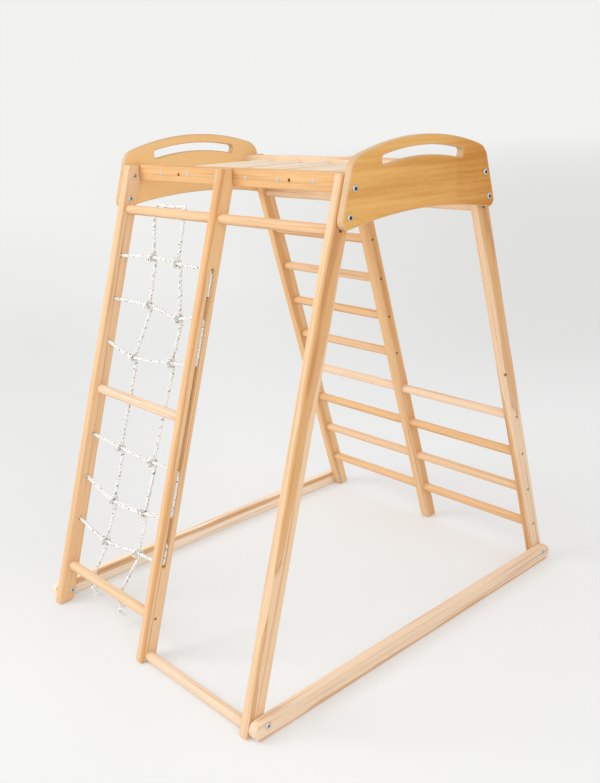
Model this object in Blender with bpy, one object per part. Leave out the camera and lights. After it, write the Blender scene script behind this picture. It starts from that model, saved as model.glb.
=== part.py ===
"""Indoor climbing frame: two leaning ladders, two gable boards, ground rails and a rope net.

Metres, +Z up. X runs across the frame, -Y is the front with the net and the doorway, and the
origin lies on the floor in the middle of the footprint.
"""
import math

import bmesh
import bpy
from mathutils import Matrix, Vector

# Driving dimensions of the frame
FRAME_WIDTH = 0.900
FOOT_SPREAD = 1.276
FRAME_HEIGHT = 1.294
LADDER_LEAN = math.radians(16.0)
STOCK_THICKNESS = 0.028
STOCK_DEPTH = 0.048
EDGE_RADIUS = 0.0045
TOE_RADIUS = 0.005
HEEL_RADIUS = 0.015

# Rungs and their sockets; places are measured along the stiles, and shares are of the top rung's place
RUNG_DIAMETER = 0.028
SOCKET_DEPTH = 0.014
TOP_RUNG_DROP = 0.13415
REAR_FIRST_RUNG = 0.132
REAR_RUNGS = 9
REAR_WIDE_RUNGS = 4
FRONT_MIDDLE_SHARE = 0.55033
FRONT_BOTTOM_RUNG = 0.1185
DOORWAY_RUNG = 0.0157

# Top rails and their cross rungs
TOP_RUNGS = 6
TOP_RUNG_MARGIN = 0.13375
HOOK_FROM_RUNG = 0.04025
HOOK_HOLE_DIAMETER = 0.0100
PEG_DIAMETER = 0.008
PEG_LENGTH = 0.012
PEG_ROOT = 0.004

# Gable boards, set out from the top of the frame
GABLE_THICKNESS = 0.022
GABLE_RISE = 0.077
GABLE_TOP_RADIUS = 0.770
GABLE_ARCH_DROP = 0.102
GABLE_ARCH_RADIUS = 1.500
GABLE_SETBACK = 0.003
GABLE_SHOULDER_RADIUS = 0.050
GABLE_CORNER_RADIUS = 0.020
HANDLE_RIM = 0.026
HANDLE_WIDTH = 0.0245
HANDLE_HALF_LENGTH = 0.154
HANDLE_CORNER_RADIUS = 0.009
GABLE_BOLT_DROPS = (0.098, 0.033)

# Ground rails, set out from the feet of the stiles
GROUND_RAIL_SETBACK = 0.008
GROUND_RAIL_EDGE = 0.005
GROUND_BOLT_SETBACK = 0.048
GROUND_BOLT_HEIGHT = 0.033

# Fasteners
BOLT_DIAMETER = 0.006
BOLT_HEAD_DIAMETER = 0.017
BOLT_CROWN_DIAMETER = 0.0115
BOLT_HEAD_HEIGHT = 0.0028
NUT_HEAD_DIAMETER = 0.017
NUT_CROWN_DIAMETER = 0.0120
NUT_HEAD_HEIGHT = 0.0017
BARREL_DIAMETER = 0.0086
BARREL_LENGTH = 0.020
BOLT_IN_BARREL = 0.012
SCREW_SINK_DIAMETER = 0.0085
SCREW_SINK_DEPTH = 0.006

# Rope net in the front left bay
ROPE_DIAMETER = 0.010
ROPE_HOLE_DIAMETER = 0.0122
GROOVE_WIDTH = 0.0128
ROPE_SINK = 0.0005
ROPE_BEND = 0.0135
RUNG_BEND = 0.009
ROPE_STEP = 0.030
HITCH_PITCH = 0.0118
HITCH_POINTS = 10
STOPPER_DIAMETER = 0.025
STOPPER_HEIGHT = 0.026
STOPPER_TAIL = 0.016
RUNG_HOLE_SHARES = (0.3321, 0.6716)
ROPE_HOLE_SHARES = (0.88573, 0.77805, 0.67038, 0.43482, 0.32673, 0.21865)
TOP_TAIL_SHARE = 0.54
BOTTOM_TAIL_SHARE = 0.47

# Clearances
GAP = 0.0003
DRILL_CLEARANCE = 0.0003
ROPE_CLEARANCE = 0.0004
OVERCUT = 0.002

# Facets
RUNG_SIDES = 16
HOLE_SIDES = 8
BOLT_SIDES = 8
STOPPER_SIDES = 10
ROPE_HOLE_SIDES = 10
EDGE_STEPS = 2

# Where the hangers cross each row of the net: share of the bay's width from the left stile, rise
# above the row's holes, and distance behind the ladder's middle plane
LEFT_CROSSINGS = (
    (0.3554, 0.0075, 0.006),
    (0.3652, -0.0033, 0.016),
    (0.3064, -0.0282, 0.010),
    (0.3088, -0.0130, 0.014),
    (0.3211, -0.0402, 0.016),
    (0.3088, -0.0319, 0.014),
)
RIGHT_CROSSINGS = (
    (0.6446, 0.0022, 0.006),
    (0.7328, -0.0191, 0.016),
    (0.7451, -0.0138, 0.010),
    (0.7108, -0.0150, 0.014),
    (0.6961, -0.0330, 0.016),
    (0.7083, -0.0166, 0.014),
)

# Where the hangers end, on top of their stopper knots: share of the bay, height and distance behind
LEFT_HANGER_END = (0.2181, 0.0850, 0.0265)
RIGHT_HANGER_END = (0.5686, 0.0800, 0.0265)

# A stopper knot's outline: share of its height, and share of its radius
STOPPER_OUTLINE = ((0.14, 0.93), (0.3, 1.0), (0.42, 0.86), (0.56, 1.0), (0.72, 0.9), (0.9, 0.62))

# Sizes that follow from the driving ones
STOCK_RUN = STOCK_DEPTH / math.cos(LADDER_LEAN)
SLOPE = math.tan(LADDER_LEAN)
RAIL_BASE = FRAME_HEIGHT - STOCK_DEPTH
RAIL_FACE = FOOT_SPREAD / 2 - STOCK_RUN - RAIL_BASE * SLOPE
RAIL_MIDDLE = FRAME_HEIGHT - STOCK_DEPTH / 2
STILE_X = (FRAME_WIDTH - STOCK_THICKNESS) / 2
OUTER_FACE = FRAME_WIDTH / 2
INNER_FACE = OUTER_FACE - STOCK_THICKNESS
MIDDLE_FACE = STOCK_THICKNESS / 2
BAY_WIDTH = INNER_FACE - MIDDLE_FACE
TOP_RUNG = FRAME_HEIGHT / math.cos(LADDER_LEAN) - TOP_RUNG_DROP
REAR_PITCH = (TOP_RUNG - REAR_FIRST_RUNG) / (REAR_RUNGS - 1)
FRONT_MIDDLE_RUNG = TOP_RUNG * FRONT_MIDDLE_SHARE
ROPE_HOLES = tuple(TOP_RUNG * share for share in ROPE_HOLE_SHARES)
TOP_RUNG_PITCH = (FRAME_WIDTH - 2 * TOP_RUNG_MARGIN) / (TOP_RUNGS - 1)
HOOK_HOLE_OFFSET = 1.5 * TOP_RUNG_PITCH + HOOK_FROM_RUNG
GABLE_HEIGHT = FRAME_HEIGHT + GABLE_RISE
GABLE_ARCH_HEIGHT = FRAME_HEIGHT - GABLE_ARCH_DROP
GROUND_RAIL_LENGTH = FOOT_SPREAD - 2 * GROUND_RAIL_SETBACK
GROUND_BOLT_OFFSET = FOOT_SPREAD / 2 - GROUND_BOLT_SETBACK
SOCKET_RADIUS = RUNG_DIAMETER / 2 + DRILL_CLEARANCE
SOCKET_END = SOCKET_DEPTH - GAP
GROOVE_DEPTH = ROPE_SINK + ROPE_DIAMETER + ROPE_CLEARANCE
ROPE_INSET = ROPE_SINK + ROPE_DIAMETER / 2
HITCH_RADIUS = (ROPE_DIAMETER + ROPE_CLEARANCE) / math.cos(math.pi / HITCH_POINTS)
FRONT = -1
REAR = 1
LEFT = -1
RIGHT = 1


def material(name, color, roughness, metallic=0.0):
    """A plain finish with the piece's colour."""
    made = bpy.data.materials.new(name)
    made.use_nodes = True
    shader = made.node_tree.nodes["Principled BSDF"]
    shader.inputs["Base Color"].default_value = (*color, 1.0)
    shader.inputs["Roughness"].default_value = roughness
    shader.inputs["Metallic"].default_value = metallic
    return made


def ladder_point(facing, x, along, behind=0.0):
    """A point given along a ladder from its foot, and behind its middle plane towards the inside."""
    middle = FOOT_SPREAD / 2 - STOCK_RUN / 2
    y = middle - along * math.sin(LADDER_LEAN) - behind * math.cos(LADDER_LEAN)
    z = along * math.cos(LADDER_LEAN) - behind * math.sin(LADDER_LEAN)
    return Vector((x, facing * y, z))


def bay_x(share):
    """The x of a share of the left bay's width, from the left stile on."""
    return BAY_WIDTH * share - INNER_FACE


def net_point(place, base=0.0):
    """A point of the net from its share of the bay, its rise above a base and its distance behind."""
    share, rise, behind = place
    along = (base + rise + behind * math.sin(LADDER_LEAN)) / math.cos(LADDER_LEAN)
    return ladder_point(FRONT, bay_x(share), along, behind)


def add_object(name, mesh, finish, smooth_angle=40.0):
    """One named sub-part with its own finish, its round faces shaded smooth."""
    if finish is not None:
        mesh.materials.append(finish)
        mesh.shade_smooth()
        mesh.set_sharp_from_angle(angle=math.radians(smooth_angle))
    made = bpy.data.objects.new(name, mesh)
    bpy.context.scene.collection.objects.link(made)
    return made


def finish_mesh(bm, name):
    """Turn a bmesh into a mesh whose faces point out."""
    bmesh.ops.recalc_face_normals(bm, faces=bm.faces)
    mesh = bpy.data.meshes.new(name)
    bm.to_mesh(mesh)
    bm.free()
    return mesh


def arc(centre, radius, start, end, steps):
    """Points on an arc, both ends included, with angles in radians."""
    points = []
    for step in range(steps + 1):
        angle = start + (end - start) * step / steps
        points.append((centre[0] + radius * math.cos(angle), centre[1] + radius * math.sin(angle)))
    return points


def rounded_corner(before, corner, after, radius, steps):
    """Points of the arc that rounds one corner of an outline."""
    corner = Vector(corner)
    inward = (Vector(before) - corner).normalized()
    outward = (Vector(after) - corner).normalized()
    half = inward.angle(outward) / 2
    centre = corner + (inward + outward).normalized() * (radius / math.sin(half))
    first = corner + inward * (radius / math.tan(half)) - centre
    last = corner + outward * (radius / math.tan(half)) - centre
    turn = first.angle_signed(last)
    points = []
    for step in range(steps + 1):
        points.append(tuple(centre + Matrix.Rotation(-turn * step / steps, 2) @ first))
    return points


def prism(outline, low_x, high_x):
    """A bmesh of an outline in Y and Z, extruded along X."""
    bm = bmesh.new()
    face = bm.faces.new([bm.verts.new((low_x, y, z)) for y, z in outline])
    pushed = bmesh.ops.extrude_face_region(bm, geom=[face])
    moved = [item for item in pushed["geom"] if isinstance(item, bmesh.types.BMVert)]
    bmesh.ops.translate(bm, verts=moved, vec=(high_x - low_x, 0, 0))
    return bm


def round_edges(bm, edges, radius):
    """Round edges with a quarter-circle bevel."""
    bmesh.ops.bevel(
        bm,
        geom=edges,
        offset=radius,
        offset_type="OFFSET",
        segments=EDGE_STEPS,
        profile=0.5,
        affect="EDGES",
        material=-1,
    )


def outline_edges(bm):
    """The edges round both flat sides of a prism."""
    return [edge for edge in bm.edges if abs(edge.verts[0].co.x - edge.verts[1].co.x) < GAP]


def turned(profile, sides):
    """A bmesh of a profile of (distance along X, radius) pairs spun round X, its ends closed flat."""
    bm = bmesh.new()
    verts = [bm.verts.new((along, 0, radius)) for along, radius in profile]
    edges = [bm.edges.new(pair) for pair in zip(verts, verts[1:])]
    bmesh.ops.spin(
        bm,
        geom=verts + edges,
        cent=(0, 0, 0),
        axis=(1, 0, 0),
        angle=2 * math.pi,
        steps=sides,
        use_merge=True,
    )
    bmesh.ops.holes_fill(bm, edges=bm.edges, sides=0)
    bmesh.ops.recalc_face_normals(bm, faces=bm.faces)
    return bm


def frame_along(place, direction, up=(0, 0, 1)):
    """A matrix that stands the X axis of a turned form at a place, along a direction."""
    axis = Vector(direction).normalized()
    side = axis.orthogonal() if abs(axis.z) > 0.5 else axis.cross(Vector(up))
    side.normalize()
    turn = Matrix((axis, side, axis.cross(side))).transposed().to_4x4()
    return Matrix.Translation(place) @ turn


def cutter_of(name, form, frames):
    """A guide that holds a copy of a form at each place."""
    bm = bmesh.new()
    mesh = bpy.data.meshes.new(name + "_form")
    form.to_mesh(mesh)
    form.free()
    for frame in frames:
        placed = mesh.copy()
        placed.transform(frame)
        bm.from_mesh(placed)
        bpy.data.meshes.remove(placed)
    bpy.data.meshes.remove(mesh)
    return add_object(name, finish_mesh(bm, name), None)


def place_copies(name, form, frames, finish):
    """A numbered sub-part at each place, all sharing one mesh."""
    mesh = finish_mesh(form, name)
    for number, frame in enumerate(frames):
        if number == 0:
            copy = add_object(f"{name}_1", mesh, finish)
        else:
            copy = bpy.data.objects.new(f"{name}_{number + 1}", mesh)
            bpy.context.scene.collection.objects.link(copy)
        copy.matrix_world = frame


def cut(target, cutter):
    """Cut one shape out of another with all its other cutters; they stay as hidden guides."""
    cutter.hide_render = True
    cutter.display_type = "WIRE"
    cuts = bpy.data.collections.get(target.name + "_cuts")
    if cuts is None:
        cuts = bpy.data.collections.new(target.name + "_cuts")
        bpy.context.scene.collection.children.link(cuts)
        boolean = target.modifiers.new("cuts", "BOOLEAN")
        boolean.operation = "DIFFERENCE"
        boolean.solver = "EXACT"
        boolean.operand_type = "COLLECTION"
        boolean.collection = cuts
    bpy.context.scene.collection.objects.unlink(cutter)
    cuts.objects.link(cutter)


def cut_cylinders(target, name, radius, sides, runs, up=(0, 0, 1)):
    """Cut round holes of one radius, each from a start point to an end point."""
    length = (runs[0][1] - runs[0][0]).length
    form = turned([(0, radius), (length, radius)], sides)
    frames = [frame_along(start, end - start, up) for start, end in runs]
    cut(target, cutter_of(name, form, frames))


def stile_outline(facing):
    """Side view of a stile: flat on the floor, level at the top, seated against the top rail."""
    rail_seat = RAIL_FACE + GAP
    foot = FOOT_SPREAD / 2
    seat_height = (foot - STOCK_RUN - rail_seat) / SLOPE
    corners = [
        (-foot, 0.0),
        (-foot + STOCK_RUN, 0.0),
        (-rail_seat, seat_height),
        (-rail_seat, FRAME_HEIGHT),
        (-foot + FRAME_HEIGHT * SLOPE, FRAME_HEIGHT),
    ]
    toe = rounded_corner(corners[4], corners[0], corners[1], TOE_RADIUS, 2)
    heel = rounded_corner(corners[0], corners[1], corners[2], HEEL_RADIUS, 3)
    return [(-facing * y, z) for y, z in toe + heel + corners[2:]]


def rung_run(facing, along, low_x, high_x):
    """Both ends of a rung, as a pair of points."""
    return ladder_point(facing, low_x, along), ladder_point(facing, high_x, along)


def stile_name(facing, place):
    """The node's name of a stile."""
    return ("front" if facing == FRONT else "rear") + "_stile_" + place


def make_stile(facing, place, x, finish):
    """One leaning stile, its long edges rounded."""
    half = STOCK_THICKNESS / 2
    bm = prism(stile_outline(facing), x - half, x + half)
    round_edges(bm, outline_edges(bm), EDGE_RADIUS)
    name = stile_name(facing, place)
    return add_object(name, finish_mesh(bm, name), finish)


def rung_plan():
    """Every ladder rung: name, ladder, place along the stiles, left and right stile, screwed ends."""
    plan = [
        ("front_top_rung", FRONT, TOP_RUNG, "left", "right", (LEFT, RIGHT)),
        ("front_middle_rung", FRONT, FRONT_MIDDLE_RUNG, "left", "middle", ()),
        ("front_bottom_rung", FRONT, FRONT_BOTTOM_RUNG, "left", "middle", (LEFT, RIGHT)),
        ("doorway_bottom_rung", FRONT, DOORWAY_RUNG, "middle", "right", (LEFT, RIGHT)),
    ]
    for number in range(REAR_RUNGS):
        wide = number < REAR_WIDE_RUNGS or number == REAR_RUNGS - 1
        right = "right" if wide else "middle"
        along = REAR_FIRST_RUNG + REAR_PITCH * number
        plan.append((f"rear_rung_{number + 1}", REAR, along, "left", right, (LEFT, RIGHT)))
    return plan


STILE_CENTRES = {"left": -STILE_X, "middle": 0.0, "right": STILE_X}


def rung_ends(left, right):
    """The x of a rung's two end faces, each just short of its socket's floor."""
    half = STOCK_THICKNESS / 2
    low_x = STILE_CENTRES[left] + half - SOCKET_END
    high_x = STILE_CENTRES[right] - half + SOCKET_END
    return low_x, high_x


def make_ladder_rungs(finish):
    """The round rungs of both ladders, the front top one drilled for the hangers."""
    radius = RUNG_DIAMETER / 2
    for name, facing, along, left, right, _ in rung_plan():
        low_x, high_x = rung_ends(left, right)
        form = turned([(0, radius), (high_x - low_x, radius)], RUNG_SIDES)
        rung = add_object(name, finish_mesh(form, name), finish)
        rung.location = ladder_point(facing, low_x, along)
        if name == "front_top_rung":
            drill_top_rung(rung)


def drill_top_rung(rung):
    """Two holes across the top rung, in line with the ladder."""
    reach = RUNG_DIAMETER / 2 + OVERCUT
    runs = []
    for share in RUNG_HOLE_SHARES:
        low = ladder_point(FRONT, bay_x(share), TOP_RUNG - reach)
        runs.append((low, ladder_point(FRONT, bay_x(share), TOP_RUNG + reach)))
    cut_cylinders(rung, "front_top_rung_rope_holes", ROPE_HOLE_DIAMETER / 2, ROPE_HOLE_SIDES, runs)


def cut_sockets(stiles):
    """Blind sockets where a rung ends in a stile, and a through hole where it runs on."""
    half = STOCK_THICKNESS / 2
    blind = {name: [] for name in stiles}
    through = {name: [] for name in stiles}
    for _, facing, along, left, right, _ in rung_plan():
        for place, side in ((left, RIGHT), (right, LEFT)):
            face = STILE_CENTRES[place] + side * half
            mouth = ladder_point(facing, face + side * OVERCUT, along)
            floor = ladder_point(facing, face - side * SOCKET_DEPTH, along)
            blind[stile_name(facing, place)].append((mouth, floor))
        if (left, right) == ("left", "right"):
            run = rung_run(facing, along, -half - OVERCUT, half + OVERCUT)
            through[stile_name(facing, "middle")].append(run)
    for name, stile in stiles.items():
        if blind[name]:
            cut_cylinders(stile, name + "_sockets", SOCKET_RADIUS, RUNG_SIDES, blind[name])
        if through[name]:
            cut_cylinders(stile, name + "_rung_holes", SOCKET_RADIUS, RUNG_SIDES, through[name])


def cut_screw_sinks(stiles):
    """Counterbores on the stiles' outer faces for the screws into the rungs' ends."""
    half = STOCK_THICKNESS / 2
    runs = {name: [] for name in stiles}
    for _, facing, along, left, right, screwed in rung_plan():
        for side in screwed:
            place = left if side == LEFT else right
            face = STILE_CENTRES[place] + side * half
            mouth = ladder_point(facing, face + side * OVERCUT, along)
            floor = ladder_point(facing, face - side * SCREW_SINK_DEPTH, along)
            runs[stile_name(facing, place)].append((mouth, floor))
    for name, stile in stiles.items():
        if runs[name]:
            cut_cylinders(stile, name + "_screw_sinks", SCREW_SINK_DIAMETER / 2, HOLE_SIDES, runs[name])


def make_top_rails(finish):
    """Two rails on edge with their sockets, hook holes and the pegs that key them to the stiles."""
    inner = RAIL_FACE - STOCK_THICKNESS
    for facing, name in ((FRONT, "top_rail_front"), (REAR, "top_rail_rear")):
        low, high = sorted((facing * RAIL_FACE, facing * inner))
        corners = [(low, RAIL_BASE), (high, RAIL_BASE), (high, FRAME_HEIGHT), (low, FRAME_HEIGHT)]
        bm = prism(corners, -OUTER_FACE, OUTER_FACE)
        long_edges = [e for e in bm.edges if abs(e.verts[0].co.x - e.verts[1].co.x) > GAP]
        round_edges(bm, long_edges, EDGE_RADIUS)
        rail = add_object(name, finish_mesh(bm, name), finish)
        mouth = facing * (inner - OVERCUT)
        floor = facing * (inner + SOCKET_DEPTH)
        outside = facing * (RAIL_FACE + OVERCUT)
        sockets = []
        for x in top_rung_places():
            sockets.append((Vector((x, mouth, RAIL_MIDDLE)), Vector((x, floor, RAIL_MIDDLE))))
        cut_cylinders(rail, name + "_sockets", SOCKET_RADIUS, RUNG_SIDES, sockets)
        hooks = []
        for x in (-HOOK_HOLE_OFFSET, HOOK_HOLE_OFFSET):
            hooks.append((Vector((x, outside, RAIL_MIDDLE)), Vector((x, mouth, RAIL_MIDDLE))))
        cut_cylinders(rail, name + "_hook_holes", HOOK_HOLE_DIAMETER / 2, HOLE_SIDES, hooks)
        add_pegs(rail, facing)


def add_pegs(rail, facing):
    """Join a row of glued-in pegs to a rail, one for each stile."""
    radius = PEG_DIAMETER / 2
    form = turned([(0, radius), (PEG_ROOT + PEG_LENGTH, radius)], HOLE_SIDES)
    frames = []
    for x in STILE_CENTRES.values():
        frames.append(frame_along((x, facing * (RAIL_FACE - PEG_ROOT), RAIL_MIDDLE), (0, facing, 0)))
    pegs = cutter_of(rail.name + "_pegs", form, frames)
    pegs.hide_render = True
    pegs.display_type = "WIRE"
    joined = rail.modifiers.new("pegs", "BOOLEAN")
    joined.operation = "UNION"
    joined.solver = "EXACT"
    joined.object = pegs


def cut_peg_holes(stiles):
    """The stiles' blind holes for the rails' pegs."""
    radius = PEG_DIAMETER / 2 + DRILL_CLEARANCE
    for facing in (FRONT, REAR):
        for place, x in STILE_CENTRES.items():
            mouth = Vector((x, facing * (RAIL_FACE - OVERCUT), RAIL_MIDDLE))
            floor = Vector((x, facing * (RAIL_FACE + PEG_LENGTH + GAP), RAIL_MIDDLE))
            name = stile_name(facing, place)
            cut_cylinders(stiles[name], name + "_peg_hole", radius, HOLE_SIDES, [(mouth, floor)])


def top_rung_places():
    """The x of each cross rung between the top rails."""
    return [(number - (TOP_RUNGS - 1) / 2) * TOP_RUNG_PITCH for number in range(TOP_RUNGS)]


def make_top_rungs(finish):
    """The cross rungs between the top rails."""
    radius = RUNG_DIAMETER / 2
    reach = RAIL_FACE - STOCK_THICKNESS + SOCKET_END
    form = turned([(-reach, radius), (reach, radius)], RUNG_SIDES)
    frames = [frame_along((x, 0, RAIL_MIDDLE), (0, 1, 0)) for x in top_rung_places()]
    place_copies("top_rung", form, frames, finish)


def circle_meets_line(centre, reach, point, direction):
    """Where a line meets a circle, on the side that the direction points to."""
    offset = Vector(point) - Vector(centre)
    run = Vector(direction).normalized()
    half = offset.dot(run)
    root = math.sqrt(half * half - offset.length_squared + reach * reach)
    return Vector(point) + run * (root - half)


def gable_outline(inset):
    """A gable's outline in Y and Z, drawn in by an inset, from the bottom middle round to it again."""
    arch_centre = Vector((0, GABLE_ARCH_HEIGHT - GABLE_ARCH_RADIUS))
    top_centre = Vector((0, GABLE_HEIGHT - GABLE_TOP_RADIUS))
    edge = Vector((FOOT_SPREAD / 2 - GABLE_SETBACK, 0.0))
    climb = Vector((-math.sin(LADDER_LEAN), math.cos(LADDER_LEAN)))
    inward = Vector((-math.cos(LADDER_LEAN), -math.sin(LADDER_LEAN)))
    corner_line = edge + inward * GABLE_CORNER_RADIUS
    corner = circle_meets_line(arch_centre, GABLE_ARCH_RADIUS + GABLE_CORNER_RADIUS, corner_line, climb)
    shoulder_line = edge + inward * GABLE_SHOULDER_RADIUS
    shoulder_reach = GABLE_TOP_RADIUS - GABLE_SHOULDER_RADIUS
    shoulder = circle_meets_line(top_centre, shoulder_reach, shoulder_line, climb)
    out = math.atan2(-inward.y, -inward.x)
    arch_end = math.atan2(corner.y - arch_centre.y, corner.x - arch_centre.x)
    top_end = math.atan2(shoulder.y - top_centre.y, shoulder.x - top_centre.x)
    arch_radius = GABLE_ARCH_RADIUS + inset
    half = arc(arch_centre, arch_radius, math.pi / 2, arch_end, 5)[:-1]
    half += arc(corner, GABLE_CORNER_RADIUS - inset, arch_end - math.pi, out, 3)
    half += arc(shoulder, GABLE_SHOULDER_RADIUS - inset, out, top_end, 4)[:-1]
    half += arc(top_centre, GABLE_TOP_RADIUS - inset, top_end, math.pi / 2, 6)
    return half + [(-y, z) for y, z in reversed(half[1:-1])]


def handle_outline(grow):
    """The handle slot's outline in Y and Z, widened by an amount: a bent slot with round corners."""
    centre = Vector((0, GABLE_HEIGHT - GABLE_TOP_RADIUS))
    outer = GABLE_TOP_RADIUS - HANDLE_RIM
    inner = outer - HANDLE_WIDTH
    corner = HANDLE_CORNER_RADIUS
    half_angle = math.asin(HANDLE_HALF_LENGTH / (inner + HANDLE_WIDTH / 2))
    radius = corner + grow
    low_angle = half_angle - math.asin(corner / (inner + corner))
    high_angle = half_angle - math.asin(corner / (outer - corner))
    up = math.pi / 2
    low = centre + (inner + corner) * Vector((math.sin(low_angle), math.cos(low_angle)))
    high = centre + (outer - corner) * Vector((math.sin(high_angle), math.cos(high_angle)))
    half = arc(centre, inner - grow, up, up - low_angle, 4)[:-1]
    half += arc(low, radius, -up - low_angle, -half_angle, 2)
    half += arc(high, radius, -half_angle, up - high_angle, 2)
    half += arc(centre, outer + grow, up - high_angle, up, 4)[1:]
    return half + [(-y, z) for y, z in reversed(half[1:-1])]


def edge_rings(low_x, high_x):
    """The x and the inset of each ring across a board's thickness, its edges rounded."""
    rings = []
    for step in range(EDGE_STEPS + 1):
        angle = math.pi / 2 * step / EDGE_STEPS
        rings.append((low_x + EDGE_RADIUS * (1 - math.sin(angle)), EDGE_RADIUS * (1 - math.cos(angle))))
    rings.reverse()
    return rings + [(low_x + high_x - x, inset) for x, inset in reversed(rings)]


def loft(bm, outlines):
    """Skin a stack of closed outlines and give back the first and the last loop of edges."""
    loops = []
    for x, points in outlines:
        verts = [bm.verts.new((x, y, z)) for y, z in points]
        loops.append([bm.edges.new(pair) for pair in zip(verts, verts[1:] + verts[:1])])
    for lower, upper in zip(loops, loops[1:]):
        bmesh.ops.bridge_loops(bm, edges=lower + upper)
    return loops[0], loops[-1]


def make_gable(side, finish):
    """A gable board: arched top, hollowed foot and a bent handle slot, all edges rounded."""
    near = OUTER_FACE + GAP
    low_x, high_x = sorted((side * near, side * (near + GABLE_THICKNESS)))
    rings = edge_rings(low_x, high_x)
    bm = bmesh.new()
    outer = loft(bm, [(x, gable_outline(inset)) for x, inset in rings])
    slot = loft(bm, [(x, handle_outline(inset)) for x, inset in rings])
    for rim, hole in zip(outer, slot):
        bmesh.ops.triangle_fill(bm, edges=rim + hole, use_beauty=True, use_dissolve=False)
    name = "gable_left" if side == LEFT else "gable_right"
    gable = add_object(name, finish_mesh(bm, name), finish)
    bore = BOLT_DIAMETER / 2 + DRILL_CLEARANCE
    runs = []
    for place in gable_bolt_places():
        low = Vector((low_x - OVERCUT, *place))
        high = Vector((high_x + OVERCUT, *place))
        runs.append((low, high))
    cut_cylinders(gable, name + "_bolt_holes", bore, BOLT_SIDES, runs)


def gable_bolt_places():
    """Y and Z of the four gable bolts, on the middle lines of the stiles."""
    places = []
    for facing in (FRONT, REAR):
        for drop in GABLE_BOLT_DROPS:
            point = ladder_point(facing, 0.0, (FRAME_HEIGHT - drop) / math.cos(LADDER_LEAN))
            places.append((point.y, point.z))
    return places


def ground_bolt_places():
    """Y and Z of the two bolts in each ground rail."""
    return [(facing * GROUND_BOLT_OFFSET, GROUND_BOLT_HEIGHT) for facing in (FRONT, REAR)]


def make_ground_rail(side, finish):
    """A rail on edge along the floor, with half-round ends."""
    near = OUTER_FACE + GAP
    low_x, high_x = sorted((side * near, side * (near + STOCK_THICKNESS)))
    radius = STOCK_DEPTH / 2
    reach = GROUND_RAIL_LENGTH / 2 - radius
    outline = arc((reach, radius), radius, -math.pi / 2, math.pi / 2, 8)
    outline += arc((-reach, radius), radius, math.pi / 2, math.pi * 1.5, 8)
    bm = prism(outline, low_x, high_x)
    round_edges(bm, outline_edges(bm), GROUND_RAIL_EDGE)
    name = "ground_rail_left" if side == LEFT else "ground_rail_right"
    rail = add_object(name, finish_mesh(bm, name), finish)
    bore = BOLT_DIAMETER / 2 + DRILL_CLEARANCE
    runs = []
    for place in ground_bolt_places():
        runs.append((Vector((low_x - OVERCUT, *place)), Vector((high_x + OVERCUT, *place))))
    cut_cylinders(rail, name + "_bolt_holes", bore, BOLT_SIDES, runs)


def make_bolts(prefix, places, board, steel):
    """Domed bolts through a board, and the sleeve nuts that take them inside the stiles."""
    shank = BOLT_DIAMETER / 2
    tip = board + STOCK_THICKNESS - BARREL_LENGTH + BOLT_IN_BARREL
    bolt = [
        (-GAP - BOLT_HEAD_HEIGHT, BOLT_CROWN_DIAMETER / 2),
        (-GAP, BOLT_HEAD_DIAMETER / 2),
        (-GAP, shank),
        (tip, shank),
    ]
    barrel = BARREL_DIAMETER / 2
    bore = shank + DRILL_CLEARANCE
    nut = [
        (-GAP - NUT_HEAD_HEIGHT, NUT_CROWN_DIAMETER / 2),
        (-GAP, NUT_HEAD_DIAMETER / 2),
        (-GAP, barrel),
        (BARREL_LENGTH - GAP, barrel),
        (BARREL_LENGTH - GAP, bore),
        (BARREL_LENGTH - BOLT_IN_BARREL - GAP, bore),
    ]
    bolts = []
    nuts = []
    for side in (LEFT, RIGHT):
        for place in places:
            outer = side * (OUTER_FACE + GAP + board)
            bolts.append(frame_along((outer, *place), (-side, 0, 0)))
            nuts.append(frame_along((side * INNER_FACE, *place), (side, 0, 0)))
    place_copies(prefix + "_bolt", turned(bolt, BOLT_SIDES), bolts, steel)
    place_copies(prefix + "_nut", turned(nut, BOLT_SIDES), nuts, steel)


def cut_bolt_holes(stiles):
    """Holes for the sleeve nuts, across the outer stiles."""
    radius = BARREL_DIAMETER / 2 + DRILL_CLEARANCE
    places = gable_bolt_places() + ground_bolt_places()
    for side, place in ((LEFT, "left"), (RIGHT, "right")):
        for facing in (FRONT, REAR):
            runs = []
            for y, z in places:
                if y * facing > 0:
                    start = Vector((side * (INNER_FACE - OVERCUT), y, z))
                    runs.append((start, Vector((side * (OUTER_FACE + OVERCUT), y, z))))
            name = stile_name(facing, place)
            cut_cylinders(stiles[name], name + "_bolt_holes", radius, BOLT_SIDES, runs)


def groove_outline(low, high):
    """A groove's outline across and along a stile, with round ends."""
    half = GROOVE_WIDTH / 2
    outline = arc((0, high), half, 0, math.pi, 5)
    return outline + arc((0, low), half, math.pi, 2 * math.pi, 5)


def pocket_outline(hole, way):
    """Side view of the eased corner where a rope hole meets the groove: depth and place along."""
    material_radius = ROPE_BEND - ROPE_DIAMETER / 2 - ROPE_CLEARANCE
    centre_depth = ROPE_INSET + ROPE_BEND
    shallow = GROOVE_DEPTH - DRILL_CLEARANCE
    points = [(-OVERCUT, shallow), (ROPE_BEND + GAP, shallow)]
    for degrees in (35, 90):
        angle = math.radians(degrees)
        along = ROPE_BEND - material_radius * math.sin(angle)
        points.append((along, centre_depth - material_radius * math.cos(angle)))
    points.append((-OVERCUT, centre_depth))
    return [(depth, hole + way * along) for along, depth in points]


def cut_grooves(stile, name, face, side, spans):
    """Cut the grooves in a front stile's side face, each between two places along it."""
    outer = face + side * OVERCUT
    push = Vector((-side * (OVERCUT + GROOVE_DEPTH), 0, 0))
    outlines = []
    for low, high in spans:
        groove = groove_outline(low, high)
        outlines.append([ladder_point(FRONT, outer, along, across) for across, along in groove])
    cut(stile, block_cutter(name, outlines, push))


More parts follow.
